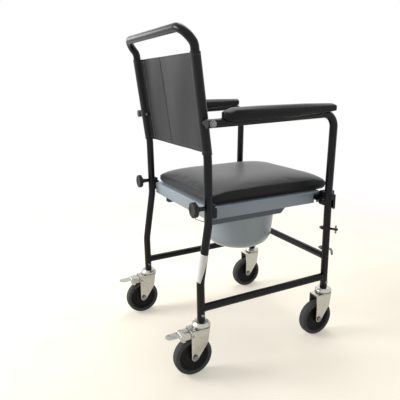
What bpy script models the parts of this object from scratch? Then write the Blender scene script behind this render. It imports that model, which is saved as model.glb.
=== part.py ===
# Wheeled commode chair: tube frame on four casters, lift-off cushion, slide-out pan, flip-up arms.
# The sitter faces -Y, +Z is up, and the sitter's right is -X. Lengths are in metres.

import math

import bmesh
import bpy
from mathutils import Matrix, Vector

# Clearance between touching pieces
GAP = 0.0003
RUN_GAP = 0.0006

# Tube frame
TUBE_R = 0.0125
TUBE_SIDES = 12
RAIL_R = 0.0125
HALF_TRACK = 0.228
WHEELBASE = 0.488
LEG_BOTTOM_Z = 0.172
FRONT_LEG_TOP_Z = 0.520
RAIL_Z = 0.2125
CROSSBAR_Z = 0.287
SOCKET_R = 0.0085
SOCKET_DEPTH = 0.045

# Rear posts and push bar
POST_FORWARD = 0.030
POST_BEND_LOW_Z = 0.300
POST_BEND_HIGH_Z = 0.480
POST_BEND_R = 0.150
RECLINE_Z = 0.672
RECLINE_R = 0.120
RECLINE = math.radians(6.6)
POST_TOP_Z = 0.981
HANDLE_LEAN = math.radians(39.0)
HANDLE_REACH = 0.053
HANDLE_BEND_R = 0.028
HANDLE_CORNER_R = 0.043

# Seat board, its frame and the pan guides
BOARD_TOP_Z = 0.521
BOARD_PLATE = 0.007
BOARD_RIM = 0.038
BOARD_WALL = 0.003
BOARD_SIDE_ROOM = 0.015
BOARD_HALF_WIDTH = HALF_TRACK - BOARD_SIDE_ROOM
BOARD_CORNER_R = 0.012
BOARD_REAR = 0.037
BOARD_FRONT = 0.470
APERTURE_HALF_WIDTH = 0.100
APERTURE_HALF_LENGTH = 0.125
SEAT_TUBE_R = 0.010
SEAT_TUBE_INSET = 0.014
SEAT_TUBE_SIDE_INSET = 0.017
SEAT_TUBE_HALF = BOARD_HALF_WIDTH - SEAT_TUBE_SIDE_INSET
SEAT_CORNER_R = 0.028
STUB_R = 0.005
FRONT_STUB = 0.445
REAR_STUB = 0.0485
GUIDE_WALL = 0.0026
GUIDE_DEPTH = 0.0416
GUIDE_SIDE_ROOM = 0.014
GUIDE_SHELF = 0.022
GUIDE_LENGTH = 0.3115
GUIDE_REAR = 0.0635
GUIDE_SLOPE = 0.040

# Pan
PAN_CENTRE = 0.272
PAN_TOP_R = 0.131
PAN_BOTTOM_R = 0.121
PAN_CORNER_R = 0.052
PAN_DEPTH = 0.1464
PAN_WALL = 0.0026
PAN_FLANGE_R = 0.158
PAN_FLANGE = 0.004
GUIDE_OUTSIDE = PAN_FLANGE_R + GUIDE_SIDE_ROOM

# Cushion
CUSHION_SIDE_INSET = 0.004
CUSHION_HALF_WIDTH = BOARD_HALF_WIDTH - CUSHION_SIDE_INSET
CUSHION_REAR = 0.044
CUSHION_FRONT = 0.508
CUSHION_EDGE = 0.040
CUSHION_CROWN = 0.019
CUSHION_DRAW = 0.004
CUSHION_TUCK = 0.007
CUSHION_CORNER_CUT = 0.003
CUSHION_CORNER_DROP = 0.014

# Back sling
SLING_BOTTOM_Z = 0.683
SLING_TOP_Z = 0.961
SLING_THICK = 0.0018
SLING_SAG = 0.006
SLING_FOLD = 0.0016

# Arms
ARM_OUTBOARD = 0.042
ARM_HALF = HALF_TRACK + ARM_OUTBOARD
ARM_PIVOT_Z = 0.7733
ARM_TAIL = 0.013
ARM_RISE = 0.009
ARM_FRONT = 0.448
ARM_LEAN = 0.006
ARM_LEAN_Z = 0.540
ARM_FOOT_Z = 0.4775
ARM_BEND_R = 0.042
PAD_HALF_WIDTH = 0.0265
PAD_BASE_Z = 0.7775
PAD_SIDE = 0.030
PAD_CROWN = 0.007
PAD_PROW = 0.0125
PAD_PROW_LENGTH = 0.170
PAD_EDGE_R = 0.008
PAD_REAR = 0.036
PAD_FRONT = 0.006
PAD_SLANT = 0.012
PIVOT_R = 0.004
SPACER_R = 0.011
NUT_R = 0.0068
PIVOT_NUT = 0.006
BOLT_PROUD = 0.002
HEAD_R = 0.0078
WASHER_R = 0.0105
WASHER = 0.0016
HEAD = 0.0055
LATCH_Z = 0.516
LATCH_TOP = 0.008
LATCH_BOTTOM = 0.040
LATCH_PIN_R = 0.0025
LATCH_WALL = 0.003
LATCH_FRONT_WALL = 0.0038
LATCH_FRONT_ROOM = 0.002

# Seat clamps, hand wheels and the arm stud
CLAMP_HALF = 0.0144
REAR_CLAMP_FRONT = 0.0563
REAR_CLAMP_OUTSIDE = 0.008
REAR_CLAMP_LOW_Z = 0.4925
REAR_CLAMP_HIGH_Z = 0.525
REAR_CLAMP_CAP = 0.0065
REAR_CLAMP_CAP_HALF = 0.0095
FRONT_CLAMP_REAR = 0.018
FRONT_CLAMP_LOW_Z = 0.477
FRONT_CLAMP_HIGH_Z = 0.5245
BOSS_R = 0.0105
BOSS = 0.0095
CLAMP_ARM_HALF = 0.0084
CLAMP_LAP = 0.004
STUD_ROOT = 0.0055
STUD_ROOT_INSET = 0.006
STUD_ROOT_HALF = 0.009
ARM_STUD_R = 0.005
ARM_STUD_Z = 0.4965
WHEEL_KNOB_Z = 0.527
WHEEL_KNOB_R = 0.0235
WHEEL_KNOB = 0.014
WHEEL_KNOB_FLUTES = 8
WHEEL_KNOB_FLUTE = 0.0022
WHEEL_KNOB_NECK_R = 0.0065
WHEEL_KNOB_NECK = 0.0275
STUD_R = 0.004
STUD_REACH = 0.0035
TETHER_R = 0.0012
TETHER_RING_R = 0.0122
TETHER_DROP = 0.0242

# Footrest lugs on the front legs and the cross bolts at the feet of the legs
LUG_R = 0.0042
LUG_TURN = math.radians(58.0)
LUG_INBOARD = 0.024
LUG_NUT_R = 0.0078
LUG_NUT = 0.006
PEG_Z = 0.390
PEG_OUTBOARD = 0.038
PEG_PIN_R = 0.0032
PEG_PIN_BACK = 0.007
PEG_PIN_HALF = 0.014
HOOK_Z = 0.317
HOOK_OUTBOARD = 0.020
HOOK_END = 0.004
HOOK_DROP = 0.020
HOOK_BEND_R = 0.007
CROSS_BOLT_R = 0.003
CROSS_BOLT_UP = 0.022
CROSS_HEAD_R = 0.0056
CROSS_HEAD = 0.0035

# Casters
WHEEL_R = 0.0625
TREAD_WIDTH = 0.030
TYRE_THICK = 0.015
HUB_BORE_R = 0.0062
HUB_BOSS_R = 0.013
HUB_WIDTH = 0.033
HUB_WEB_HALF = 0.005
HUB_LIP = 0.008
TYRE_SHOULDER = 0.006
TYRE_EDGE = 0.0015
TREAD_EDGE = 0.009
TYRE_BEAD = 0.004
WHEEL_FACETS = 24
CASTER_TRAIL = 0.032
CUP_R = 0.029
CUP_NECK_R = 0.0235
CUP_HEIGHT = 0.0185
CUP_NECK = 0.003
CUP_SHOULDER = 0.006
CUP_BAND = 0.009
CUP_FOOT = 0.004
FORK_PLATE = 0.0028
FORK_HALF_GAP = 0.0182
FORK_FRONT = 0.020
FORK_REAR = 0.043
FORK_TIP_R = 0.0115
FORK_SHOULDER = 0.048
FORK_SHOULDER_FRONT = 0.0125
AXLE_R = 0.0056
AXLE_HEAD_R = 0.0085
AXLE_HEAD = 0.0045
BRAKE_REACH = 0.120
BRAKE_PIN_R = 0.0026
BRAKE_PIN_BACK = 0.0372
BRAKE_PIN_DOWN = 0.015
BRAKE_PLATE = 0.0024
BRAKE_ARM_BACK = 0.078
BRAKE_ARM_DEPTH = 0.019
BRAKE_TONGUE_HALF_WIDTH = 0.0155
BRAKE_SHOE_BACK = 0.066
BRAKE_SHOE_HALF = 0.005
BRAKE_SHOE_CLEAR = 0.0045

# Places that follow from the sizes above
REAR_LEG_Y = (WHEELBASE - CASTER_TRAIL + WHEEL_R - BRAKE_REACH) / 2
FRONT_LEG_Y = REAR_LEG_Y - WHEELBASE
POST_Y = REAR_LEG_Y - POST_FORWARD
BOARD_REAR_Y = REAR_LEG_Y - BOARD_REAR
BOARD_FRONT_Y = REAR_LEG_Y - BOARD_FRONT
BOARD_MID_Y = (BOARD_REAR_Y + BOARD_FRONT_Y) / 2
REAR_STUB_Y = REAR_LEG_Y - REAR_STUB
FRONT_STUB_Y = REAR_LEG_Y - FRONT_STUB
SEAT_TUBE_Z = BOARD_TOP_Z - BOARD_PLATE - GAP - SEAT_TUBE_R
GUIDE_TOP_Z = SEAT_TUBE_Z - SEAT_TUBE_R - GAP
SHELF_Z = GUIDE_TOP_Z - GUIDE_DEPTH + GUIDE_WALL
PAN_Y = REAR_LEG_Y - PAN_CENTRE
PAN_TOP_Z = SHELF_Z + GAP + PAN_FLANGE
PAN_BOTTOM_Z = PAN_TOP_Z - PAN_DEPTH
ARM_PIVOT_Y = POST_Y + (ARM_PIVOT_Z - RECLINE_Z) * math.tan(RECLINE)
ARM_FRONT_Y = REAR_LEG_Y - ARM_FRONT
AXLE_Z = WHEEL_R
CUP_TOP_Z = LEG_BOTTOM_Z - GAP
CUP_BOTTOM_Z = CUP_TOP_Z - CUP_HEIGHT
FORK_TOP_Z = CUP_BOTTOM_Z - RUN_GAP

SIDES = {"right": -1.0, "left": 1.0}
CORNERS = {
    "rear_right": (-1.0, REAR_LEG_Y),
    "rear_left": (1.0, REAR_LEG_Y),
    "front_right": (-1.0, FRONT_LEG_Y),
    "front_left": (1.0, FRONT_LEG_Y),
}

# Colour, roughness and metallic value of each finish
FINISHES = {
    "black_paint": ((0.012, 0.012, 0.014), 0.32, 0.0),
    "black_plastic": ((0.014, 0.014, 0.015), 0.48, 0.0),
    "black_vinyl": ((0.020, 0.020, 0.021), 0.42, 0.0),
    "board_plastic": ((0.30, 0.34, 0.39), 0.42, 0.0),
    "guide_plastic": ((0.12, 0.14, 0.17), 0.50, 0.0),
    "pan_plastic": ((0.36, 0.42, 0.47), 0.35, 0.0),
    "zinc": ((0.62, 0.61, 0.58), 0.30, 1.0),
    "tyre_rubber": ((0.055, 0.056, 0.060), 0.75, 0.0),
    "hub_plastic": ((0.010, 0.010, 0.011), 0.55, 0.0),
}


def clear_scene():
    for obj in list(bpy.data.objects):
        bpy.data.objects.remove(obj, do_unlink=True)
    for collection in list(bpy.data.collections):
        bpy.data.collections.remove(collection)


def new_collection(name):
    collection = bpy.data.collections.new(name)
    bpy.context.scene.collection.children.link(collection)
    return collection


def make_finish(name):
    colour, roughness, metallic = FINISHES[name]
    finish = bpy.data.materials.new(name)
    finish.use_nodes = True
    shader = finish.node_tree.nodes["Principled BSDF"]
    shader.inputs["Base Color"].default_value = (*colour, 1.0)
    shader.inputs["Roughness"].default_value = roughness
    shader.inputs["Metallic"].default_value = metallic
    return finish


clear_scene()
parts = new_collection("wheeled_commode_chair")
cutters = new_collection("cutters")
finishes = {name: make_finish(name) for name in FINISHES}


# A piece is a mesh object in world coordinates, and its parent empty sits on its joint's axis.

def add_empty(name, place, parent=None):
    empty = bpy.data.objects.new(name, None)
    empty.empty_display_size = 0.02
    parts.objects.link(empty)
    empty.location = place
    if parent is not None:
        empty.parent = parent
        empty.matrix_parent_inverse = Matrix.Translation(Vector(parent["place"])).inverted()
    empty["place"] = tuple(place)
    return empty


def object_from_bmesh(name, bm):
    mesh = bpy.data.meshes.new(name)
    bm.to_mesh(mesh)
    bm.free()
    return bpy.data.objects.new(name, mesh)


def finish_part(obj, finish, parent=None, smooth=35.0):
    parts.objects.link(obj)
    obj.data.materials.clear()
    obj.data.materials.append(finishes[finish])
    if smooth:
        obj.data.shade_smooth()
        obj.data.set_sharp_from_angle(angle=math.radians(smooth))
    if parent is not None:
        obj.parent = parent
        obj.matrix_parent_inverse = Matrix.Translation(Vector(parent["place"])).inverted()
    return obj


def use_in_boolean(target, tool, operation):
    tool.name = f"{target.name}_{operation.lower()}_{len(target.modifiers)}"
    cutters.objects.link(tool)
    tool.hide_render = True
    tool.display_type = "WIRE"
    step = target.modifiers.new(operation.lower(), "BOOLEAN")
    step.operation = operation
    step.object = tool
    return target


def cut(target, tool):
    return use_in_boolean(target, tool, "DIFFERENCE")


def join(target, tool):
    return use_in_boolean(target, tool, "UNION")


def bevel(obj, width, segments=2, angle=40.0):
    edge = obj.modifiers.new("bevel", "BEVEL")
    edge.width = width
    edge.segments = segments
    edge.limit_method = "ANGLE"
    edge.angle_limit = math.radians(angle)
    return obj


def box(name, low, high):
    low, high = Vector(low), Vector(high)
    size = high - low
    bm = bmesh.new()
    place = Matrix.Translation((low + high) / 2) @ Matrix.Diagonal((*size, 1.0))
    bmesh.ops.create_cube(bm, size=1.0, matrix=place)
    return object_from_bmesh(name, bm)


def cylinder(name, start, end, radius, sides=24, end_radius=None):
    start, end = Vector(start), Vector(end)
    run = end - start
    turn = run.to_track_quat("Z", "Y").to_matrix().to_4x4()
    bm = bmesh.new()
    bmesh.ops.create_cone(
        bm,
        cap_ends=True,
        segments=sides,
        radius1=radius,
        radius2=radius if end_radius is None else end_radius,
        depth=run.length,
        matrix=Matrix.Translation((start + end) / 2) @ turn,
    )
    return object_from_bmesh(name, bm)


def mesh_from_curve(name, curve, place=None):
    """Converts a curve to a welded mesh object in world coordinates."""
    holder = bpy.data.objects.new(name + "_curve", curve)
    bpy.context.scene.collection.objects.link(holder)
    if place is not None:
        holder.matrix_world = place
    bpy.context.view_layer.update()
    graph = bpy.context.evaluated_depsgraph_get()
    mesh = bpy.data.meshes.new_from_object(holder.evaluated_get(graph))
    mesh.transform(holder.matrix_world)
    bpy.data.objects.remove(holder, do_unlink=True)
    bpy.data.curves.remove(curve)
    bm = bmesh.new()
    bm.from_mesh(mesh)
    bpy.data.meshes.remove(mesh)
    bmesh.ops.remove_doubles(bm, verts=bm.verts, dist=0.00001)
    bmesh.ops.recalc_face_normals(bm, faces=bm.faces)
    return object_from_bmesh(name, bm)


def fillet_path(corners, radii, turn_per_step=15.0):
    """Straight runs through the corners, joined by arcs of the given radii."""
    corners = [Vector(corner) for corner in corners]
    points = [corners[0]]
    for before, corner, after, radius in zip(corners, corners[1:], corners[2:], radii):
        back = (before - corner).normalized()
        ahead = (after - corner).normalized()
        half = back.angle(ahead) / 2
        centre = corner + (back + ahead).normalized() * (radius / math.sin(half))
        run = radius / math.tan(half)
        first = (corner + back * run - centre).normalized()
        last = (corner + ahead * run - centre).normalized()
        steps = max(2, round(math.degrees(math.pi - 2 * half) / turn_per_step))
        for step in range(steps + 1):
            points.append(centre + first.slerp(last, step / steps) * radius)
    points.append(corners[-1])
    return points


def tube(name, points, radius, sides=TUBE_SIDES, closed=False):
    curve = bpy.data.curves.new(name, "CURVE")
    curve.dimensions = "3D"
    curve.bevel_depth = radius
    curve.bevel_resolution = sides // 2 - 2
    curve.use_fill_caps = not closed
    spline = curve.splines.new("POLY")
    spline.points.add(len(points) - 1)
    for knot, point in zip(spline.points, points):
        knot.co = (*point, 1.0)
    spline.use_cyclic_u = closed
    return mesh_from_curve(name, curve)


def slab(name, outlines, thickness, place):
    """A flat plate from closed outlines in its own XY plane, centred on that plane."""
    curve = bpy.data.curves.new(name, "CURVE")
    curve.dimensions = "2D"
    curve.fill_mode = "BOTH"
    curve.extrude = thickness / 2
    for outline in outlines:
        spline = curve.splines.new("POLY")
        spline.points.add(len(outline) - 1)
        for knot, (across, up) in zip(spline.points, outline):
            knot.co = (across, up, 0.0, 1.0)
        spline.use_cyclic_u = True
    return mesh_from_curve(name, curve, place)


def turned(name, profile, steps=24, ring=False):
    """Spins (radius, height) points about Z; the list runs down the outer side."""
    bm = bmesh.new()
    points = [bm.verts.new((radius, 0.0, height)) for radius, height in profile]
    for above, below in zip(points, points[1:]):
        bm.edges.new((above, below))
    if ring:
        bm.edges.new((points[-1], points[0]))
    obj = object_from_bmesh(name, bm)
    spin = obj.modifiers.new("spin", "SCREW")
    spin.steps = steps
    spin.render_steps = steps
    spin.use_merge_vertices = True
    spin.merge_threshold = 0.00001
    spin.use_smooth_shade = True
    return obj


def arc(centre, radius, first, last, steps):
    """Points on an arc from first to last degrees, ends included."""
    angles = [math.radians(first + (last - first) * step / steps) for step in range(steps + 1)]
    return [(centre[0] + radius * math.cos(a), centre[1] + radius * math.sin(a)) for a in angles]


def rounded_rectangle(half_width, low, high, radius, steps=4):
    right, left = half_width - radius, radius - half_width
    return (
        arc((right, high - radius), radius, 0, 90, steps)
        + arc((left, high - radius), radius, 90, 180, steps)
        + arc((left, low + radius), radius, 180, 270, steps)
        + arc((right, low + radius), radius, 270, 360, steps)
    )


def oval(half_width, half_length, middle, steps=24):
    angles = [2 * math.pi * step / steps for step in range(steps)]
    return [(half_width * math.cos(a), middle + half_length * math.sin(a)) for a in angles]


def bore_radius(radius, sides):
    """The radius of a faceted bore whose flats clear a round bar of the given radius."""
    return radius / math.cos(math.pi / sides)


def level(height):
    return Matrix.Translation((0.0, 0.0, height))


def facing_side(across):
    """Places a slab drawn in (y, z) upright, square to the X axis."""
    return Matrix.Translation((across, 0.0, 0.0)) @ Matrix((
        (0.0, 0.0, 1.0, 0.0),
        (1.0, 0.0, 0.0, 0.0),
        (0.0, 1.0, 0.0, 0.0),
        (0.0, 0.0, 0.0, 1.0),
    ))


def facing_rear(along):
    """Places a slab drawn in (x, z) upright, square to the Y axis."""
    return Matrix.Translation((0.0, along, 0.0)) @ Matrix.Rotation(math.radians(90), 4, "X")


# Tube frame

def post_axis(height):
    """The rear post's axis above the bend where its recline begins."""
    return POST_Y + (height - RECLINE_Z) * math.tan(RECLINE)


def build_back_frame():
    top = Vector((HALF_TRACK, post_axis(POST_TOP_Z), POST_TOP_Z))
    lean = Vector((0.0, math.sin(HANDLE_LEAN), math.cos(HANDLE_LEAN)))
    left = [
        Vector((HALF_TRACK, REAR_LEG_Y, LEG_BOTTOM_Z)),
        Vector((HALF_TRACK, REAR_LEG_Y, POST_BEND_LOW_Z)),
        Vector((HALF_TRACK, POST_Y, POST_BEND_HIGH_Z)),
        Vector((HALF_TRACK, POST_Y, RECLINE_Z)),
        top,
        top + lean * HANDLE_REACH,
    ]
    right = [Vector((-point.x, point.y, point.z)) for point in reversed(left)]
    radii = [POST_BEND_R, POST_BEND_R, RECLINE_R, HANDLE_BEND_R, HANDLE_CORNER_R]
    frame = tube("back_frame", fillet_path(left + right, radii + radii[::-1]), TUBE_R)
    for side in SIDES.values():
        across = side * HALF_TRACK
        cut(frame, caster_socket(across, REAR_LEG_Y))
        cut(frame, cross_hole(across, REAR_LEG_Y))
        pivot = (across - 2 * TUBE_R, ARM_PIVOT_Y, ARM_PIVOT_Z)
        pivot_end = (across + 2 * TUBE_R, ARM_PIVOT_Y, ARM_PIVOT_Z)
        cut(frame, cylinder("pivot_hole", pivot, pivot_end, PIVOT_R + GAP, 12))
        stud = (across, POST_Y - 2 * TUBE_R, WHEEL_KNOB_Z)
        stud_end = (across, POST_Y + 2 * TUBE_R, WHEEL_KNOB_Z)
        cut(frame, cylinder("stud_hole", stud, stud_end, STUD_R + RUN_GAP, 12))
    finish_part(frame, "black_paint")


def caster_socket(across, along):
    foot = (across, along, LEG_BOTTOM_Z - 0.01)
    end = (across, along, LEG_BOTTOM_Z + SOCKET_DEPTH)
    return cylinder("socket", foot, end, SOCKET_R + GAP, 16)


def cross_hole(across, along):
    height = LEG_BOTTOM_Z + CROSS_BOLT_UP
    start = (across - 2 * TUBE_R, along, height)
    end = (across + 2 * TUBE_R, along, height)
    return cylinder("cross_hole", start, end, CROSS_BOLT_R + GAP, 12)


def leg_clearance(across, along, low, high):
    return cylinder("leg_clearance", (across, along, low), (across, along, high), TUBE_R + GAP, 20)


def build_front_leg(word, side):
    across = side * HALF_TRACK
    foot = (across, FRONT_LEG_Y, LEG_BOTTOM_Z)
    leg = cylinder("front_leg_" + word, foot, (across, FRONT_LEG_Y, FRONT_LEG_TOP_Z), TUBE_R, 16)
    cut(leg, caster_socket(across, FRONT_LEG_Y))
    cut(leg, cross_hole(across, FRONT_LEG_Y))
    for height in (PEG_Z, HOOK_Z):
        start = lug_point(side, -2 * TUBE_R, height)
        cut(leg, cylinder("lug_hole", start, lug_point(side, 2 * TUBE_R, height), LUG_R + GAP, 12))
    finish_part(leg, "black_paint")


def build_side_rail(word, side):
    across = side * HALF_TRACK
    start = (across, REAR_LEG_Y, RAIL_Z)
    rail = cylinder("lower_side_rail_" + word, start, (across, FRONT_LEG_Y, RAIL_Z), RAIL_R, 16)
    for along in (REAR_LEG_Y, FRONT_LEG_Y):
        cut(rail, leg_clearance(across, along, RAIL_Z - 0.03, RAIL_Z + 0.03))
    finish_part(rail, "black_paint")


def build_crossbar():
    start = (-HALF_TRACK, FRONT_LEG_Y, CROSSBAR_Z)
    bar = cylinder("front_crossbar", start, (HALF_TRACK, FRONT_LEG_Y, CROSSBAR_Z), RAIL_R, 16)
    for side in SIDES.values():
        tool = leg_clearance(side * HALF_TRACK, FRONT_LEG_Y, CROSSBAR_Z - 0.03, CROSSBAR_Z + 0.03)
        cut(bar, tool)
    finish_part(bar, "black_paint")


# Seat: tube loop with four stubs, board, pan guides and cushion

def stub_places():
    return [(side, along) for side in SIDES.values() for along in (REAR_STUB_Y, FRONT_STUB_Y)]


def build_seat_frame():
    rear = BOARD_REAR_Y - SEAT_TUBE_INSET
    front = BOARD_FRONT_Y + SEAT_TUBE_INSET
    reach = SEAT_TUBE_HALF
    corners = [(reach, rear), (-reach, rear), (-reach, front), (reach, front)]
    loop = [(0.0, rear), *corners[1:], corners[0], (0.0, rear)]
    path = fillet_path([(x, y, SEAT_TUBE_Z) for x, y in loop], [SEAT_CORNER_R] * 4, 18)
    frame = tube("seat_frame", path[:-1], SEAT_TUBE_R, 10, closed=True)
    for side, along in stub_places():
        inner = (side * (SEAT_TUBE_HALF - SEAT_CORNER_R), along, SEAT_TUBE_Z)
        outer = (side * (HALF_TRACK - 0.001), along, SEAT_TUBE_Z)
        join(frame, cylinder("stub", inner, outer, STUB_R, 12))
    finish_part(frame, "black_paint")


def build_seat_board():
    outer = rounded_rectangle(BOARD_HALF_WIDTH, BOARD_FRONT_Y, BOARD_REAR_Y, BOARD_CORNER_R)
    hollow = rounded_rectangle(
        BOARD_HALF_WIDTH - BOARD_WALL,
        BOARD_FRONT_Y + BOARD_WALL,
        BOARD_REAR_Y - BOARD_WALL,
        BOARD_CORNER_R - BOARD_WALL,
    )
    collar = oval(APERTURE_HALF_WIDTH + BOARD_WALL, APERTURE_HALF_LENGTH + BOARD_WALL, PAN_Y)
    aperture = oval(APERTURE_HALF_WIDTH, APERTURE_HALF_LENGTH, PAN_Y)
    board = slab("seat_board", [outer], BOARD_RIM, level(BOARD_TOP_Z - BOARD_RIM / 2))
    under = BOARD_TOP_Z - BOARD_PLATE - BOARD_RIM / 2
    cut(board, slab("hollow", [hollow, collar], BOARD_RIM, level(under)))
    cut(board, slab("aperture", [aperture], 3 * BOARD_RIM, level(BOARD_TOP_Z)))
    for side, along in stub_places():
        wide = STUB_R + GAP
        low = (side * BOARD_HALF_WIDTH - 0.008, along - wide, BOARD_TOP_Z - BOARD_RIM - 0.005)
        high = (side * BOARD_HALF_WIDTH + 0.008, along + wide, SEAT_TUBE_Z + wide)
        cut(board, box("stub_notch", low, high))
    finish_part(board, "board_plastic")


def build_pan_guide(word, side):
    """A Z-section that hangs from the seat tube, with a shelf for the pan's flange."""
    web, lip = GUIDE_OUTSIDE, SEAT_TUBE_HALF + SEAT_TUBE_R / 2
    low, high = GUIDE_TOP_Z - GUIDE_DEPTH, GUIDE_TOP_Z
    outline = [
        (web - GUIDE_SHELF, low),
        (web, low),
        (web, high - GUIDE_WALL),
        (lip, high - GUIDE_WALL),
        (lip, high),
        (web - GUIDE_WALL, high),
        (web - GUIDE_WALL, low + GUIDE_WALL),
        (web - GUIDE_SHELF, low + GUIDE_WALL),
    ]
    middle = REAR_LEG_Y - GUIDE_REAR - GUIDE_LENGTH / 2
    section = [(side * across, up) for across, up in outline]
    guide = slab("pan_guide_" + word, [section], GUIDE_LENGTH, facing_rear(middle))
    front = middle - GUIDE_LENGTH / 2
    slope = [
        (front - 0.02, low - 0.01),
        (front + GUIDE_SLOPE, low - 0.01),
        (front + GUIDE_SLOPE, low),
        (front - 0.001, high),
        (front - 0.001, high + 0.01),
        (front - 0.02, high + 0.01),
    ]
    cut(guide, slab("slope", [slope], 2 * lip, facing_side(side * lip)))
    finish_part(guide, "guide_plastic", smooth=0)


def build_cushion():
    """A coarse cage whose top is crowned and whose sides are drawn in between the corners."""
    half_x = CUSHION_HALF_WIDTH
    half_y = (CUSHION_FRONT - CUSHION_REAR) / 2
    middle = REAR_LEG_Y - CUSHION_REAR - half_y
    base = BOARD_TOP_Z + GAP
    lift = add_empty("cushion_lift", (0.0, middle, base))
    bm = bmesh.new()
    bmesh.ops.create_cube(bm, size=2.0)
    bmesh.ops.subdivide_edges(bm, edges=bm.edges, cuts=4, use_grid_fill=True)
    for vert in bm.verts:
        u = spread(vert.co.x)
        v = spread(vert.co.y)
        layer = (vert.co.z + 1) / 2
        crown = CUSHION_CROWN * (1 - u ** 6) * (1 - v ** 6)
        corner = CUSHION_CORNER_CUT * abs(u * v) ** 12
        drop = CUSHION_CORNER_DROP * abs(u * v) ** 6
        tuck = CUSHION_TUCK * max(0.0, 1 - 2 * layer) ** 2
        inset_x = CUSHION_DRAW * (1 - v * v) * u * u + corner + tuck * u ** 8
        inset_y = CUSHION_DRAW * (1 - u * u) * v * v + corner + tuck * v ** 8
        x = u * half_x - math.copysign(inset_x, u)
        y = v * half_y - math.copysign(inset_y, v)
        vert.co = (x, y + middle, base + layer * (CUSHION_EDGE + crown - drop))
    cushion = object_from_bmesh("seat_cushion", bm)
    soft = cushion.modifiers.new("soft", "SUBSURF")
    soft.levels = 1
    soft.render_levels = 1
    finish_part(cushion, "black_vinyl", lift)


def spread(share):
    """Moves evenly spaced cage points out towards the edges of a soft piece."""
    return math.copysign(abs(share) ** 0.6, share)


# Pan with its flange

def build_pan():
    slide = add_empty("pan_slide", (0.0, PAN_Y, PAN_TOP_Z))
    top, bottom = PAN_TOP_Z, PAN_BOTTOM_Z
    wall = PAN_WALL
    inner_corner = PAN_CORNER_R - wall
    centre = (PAN_BOTTOM_R - PAN_CORNER_R, bottom + PAN_CORNER_R)
    outer_bend = arc(centre, PAN_CORNER_R, 0, -90, 5)
    inner_bend = arc(centre, inner_corner, -90, 0, 5)
    profile = (
        [(0.0, bottom + wall)]
        + inner_bend
        + [(PAN_TOP_R - wall, top), (PAN_FLANGE_R, top), (PAN_FLANGE_R, top - PAN_FLANGE)]
        + [(PAN_TOP_R, top - PAN_FLANGE)]
        + outer_bend
        + [(0.0, bottom)]
    )
    pan = turned("pan", profile, 24)
    pan.location = (0.0, PAN_Y, 0.0)
    finish_part(pan, "pan_plastic", slide)


# Back sling: a sheet between two sleeves that run up the posts

def build_sling():
    half_span = HALF_TRACK
    front_y = TUBE_R + GAP + SLING_THICK / 2
    columns, rows = 16, 4
    bm = bmesh.new()
    bmesh.ops.create_grid(bm, x_segments=columns, y_segments=rows, size=1.0)
    for vert in bm.verts:
        u, v = vert.co.x, (vert.co.y + 1) / 2
        height = SLING_BOTTOM_Z + v * (SLING_TOP_Z - SLING_BOTTOM_Z)
        belly = SLING_SAG * (1 - u * u) * (0.6 + 0.4 * math.sin(math.pi * v))
        folds = SLING_FOLD * (1 - u ** 4) * math.sin(9 * u + 2.2 * v) * (1 - 0.5 * v)
        vert.co = (u * half_span, post_axis(height) - front_y + belly + folds, height)
    sling = object_from_bmesh("back_sling", bm)
    thick = sling.modifiers.new("thick", "SOLIDIFY")
    thick.thickness = SLING_THICK
    thick.offset = 0.0
    outer_r = TUBE_R + GAP + SLING_THICK
    for side in SIDES.values():
        across = side * HALF_TRACK
        low = Vector((across, post_axis(SLING_BOTTOM_Z), SLING_BOTTOM_Z))
        high = Vector((across, post_axis(SLING_TOP_Z), SLING_TOP_Z))
        run = (high - low).normalized() * 0.02
        join(sling, cylinder("sleeve", low, high, outer_r, 18))
        cut(sling, cylinder("post_bore", low - run, high + run, bore_radius(TUBE_R + GAP, 18), 18))
        pivot = Vector((across, ARM_PIVOT_Y, ARM_PIVOT_Z))
        outward = Vector((side, 0.0, 0.0))
        cut(sling, cylinder("spacer_hole", pivot, pivot + outward * 0.03, SPACER_R + 0.001, 20))
        cut(sling, cylinder("nut_hole", pivot, pivot - outward * 0.03, NUT_R + 0.001, 16))
    finish_part(sling, "black_vinyl")


# Arms: tube, pad and latch turn about a bolt through the rear post

def build_arm(word, side):
    across = side * ARM_HALF
    hinge = add_empty("arm_hinge_" + word, (across, ARM_PIVOT_Y, ARM_PIVOT_Z))
    slope = ARM_RISE / (ARM_PIVOT_Y - ARM_FRONT_Y)
    corners = [
        (across, ARM_PIVOT_Y + ARM_TAIL, ARM_PIVOT_Z - slope * ARM_TAIL),
        (across, ARM_FRONT_Y - ARM_LEAN, ARM_PIVOT_Z + ARM_RISE),
        (across, ARM_FRONT_Y, ARM_LEAN_Z),
        (across, ARM_FRONT_Y, ARM_FOOT_Z),
    ]
    path = fillet_path(corners, [ARM_BEND_R, ARM_BEND_R], 15)
    arm = tube("arm_tube_" + word, path, TUBE_R)
    hole = (across - 2 * TUBE_R, ARM_PIVOT_Y, ARM_PIVOT_Z)
    hole_end = (across + 2 * TUBE_R, ARM_PIVOT_Y, ARM_PIVOT_Z)
    cut(arm, cylinder("pivot_hole", hole, hole_end, PIVOT_R + RUN_GAP, 16))
    stud_room = ARM_STUD_R + RUN_GAP
    slot_inside = across
    slot_outside = across - side * 2 * TUBE_R
    low = (min(slot_inside, slot_outside), ARM_FRONT_Y - stud_room, ARM_FOOT_Z - 0.01)
    high = (max(slot_inside, slot_outside), ARM_FRONT_Y + 0.03, ARM_STUD_Z + stud_room)
    cut(arm, box("stud_slot", low, high))
    pin = (across - 2 * TUBE_R, ARM_FRONT_Y, LATCH_Z)
    pin_end = (across + 2 * TUBE_R, ARM_FRONT_Y, LATCH_Z)
    cut(arm, cylinder("latch_hole", pin, pin_end, LATCH_PIN_R + RUN_GAP, 12))
    finish_part(arm, "black_paint", hinge)
    build_arm_pad(word, side, path, hinge)
    build_arm_latch(word, side, across, hinge)


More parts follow.
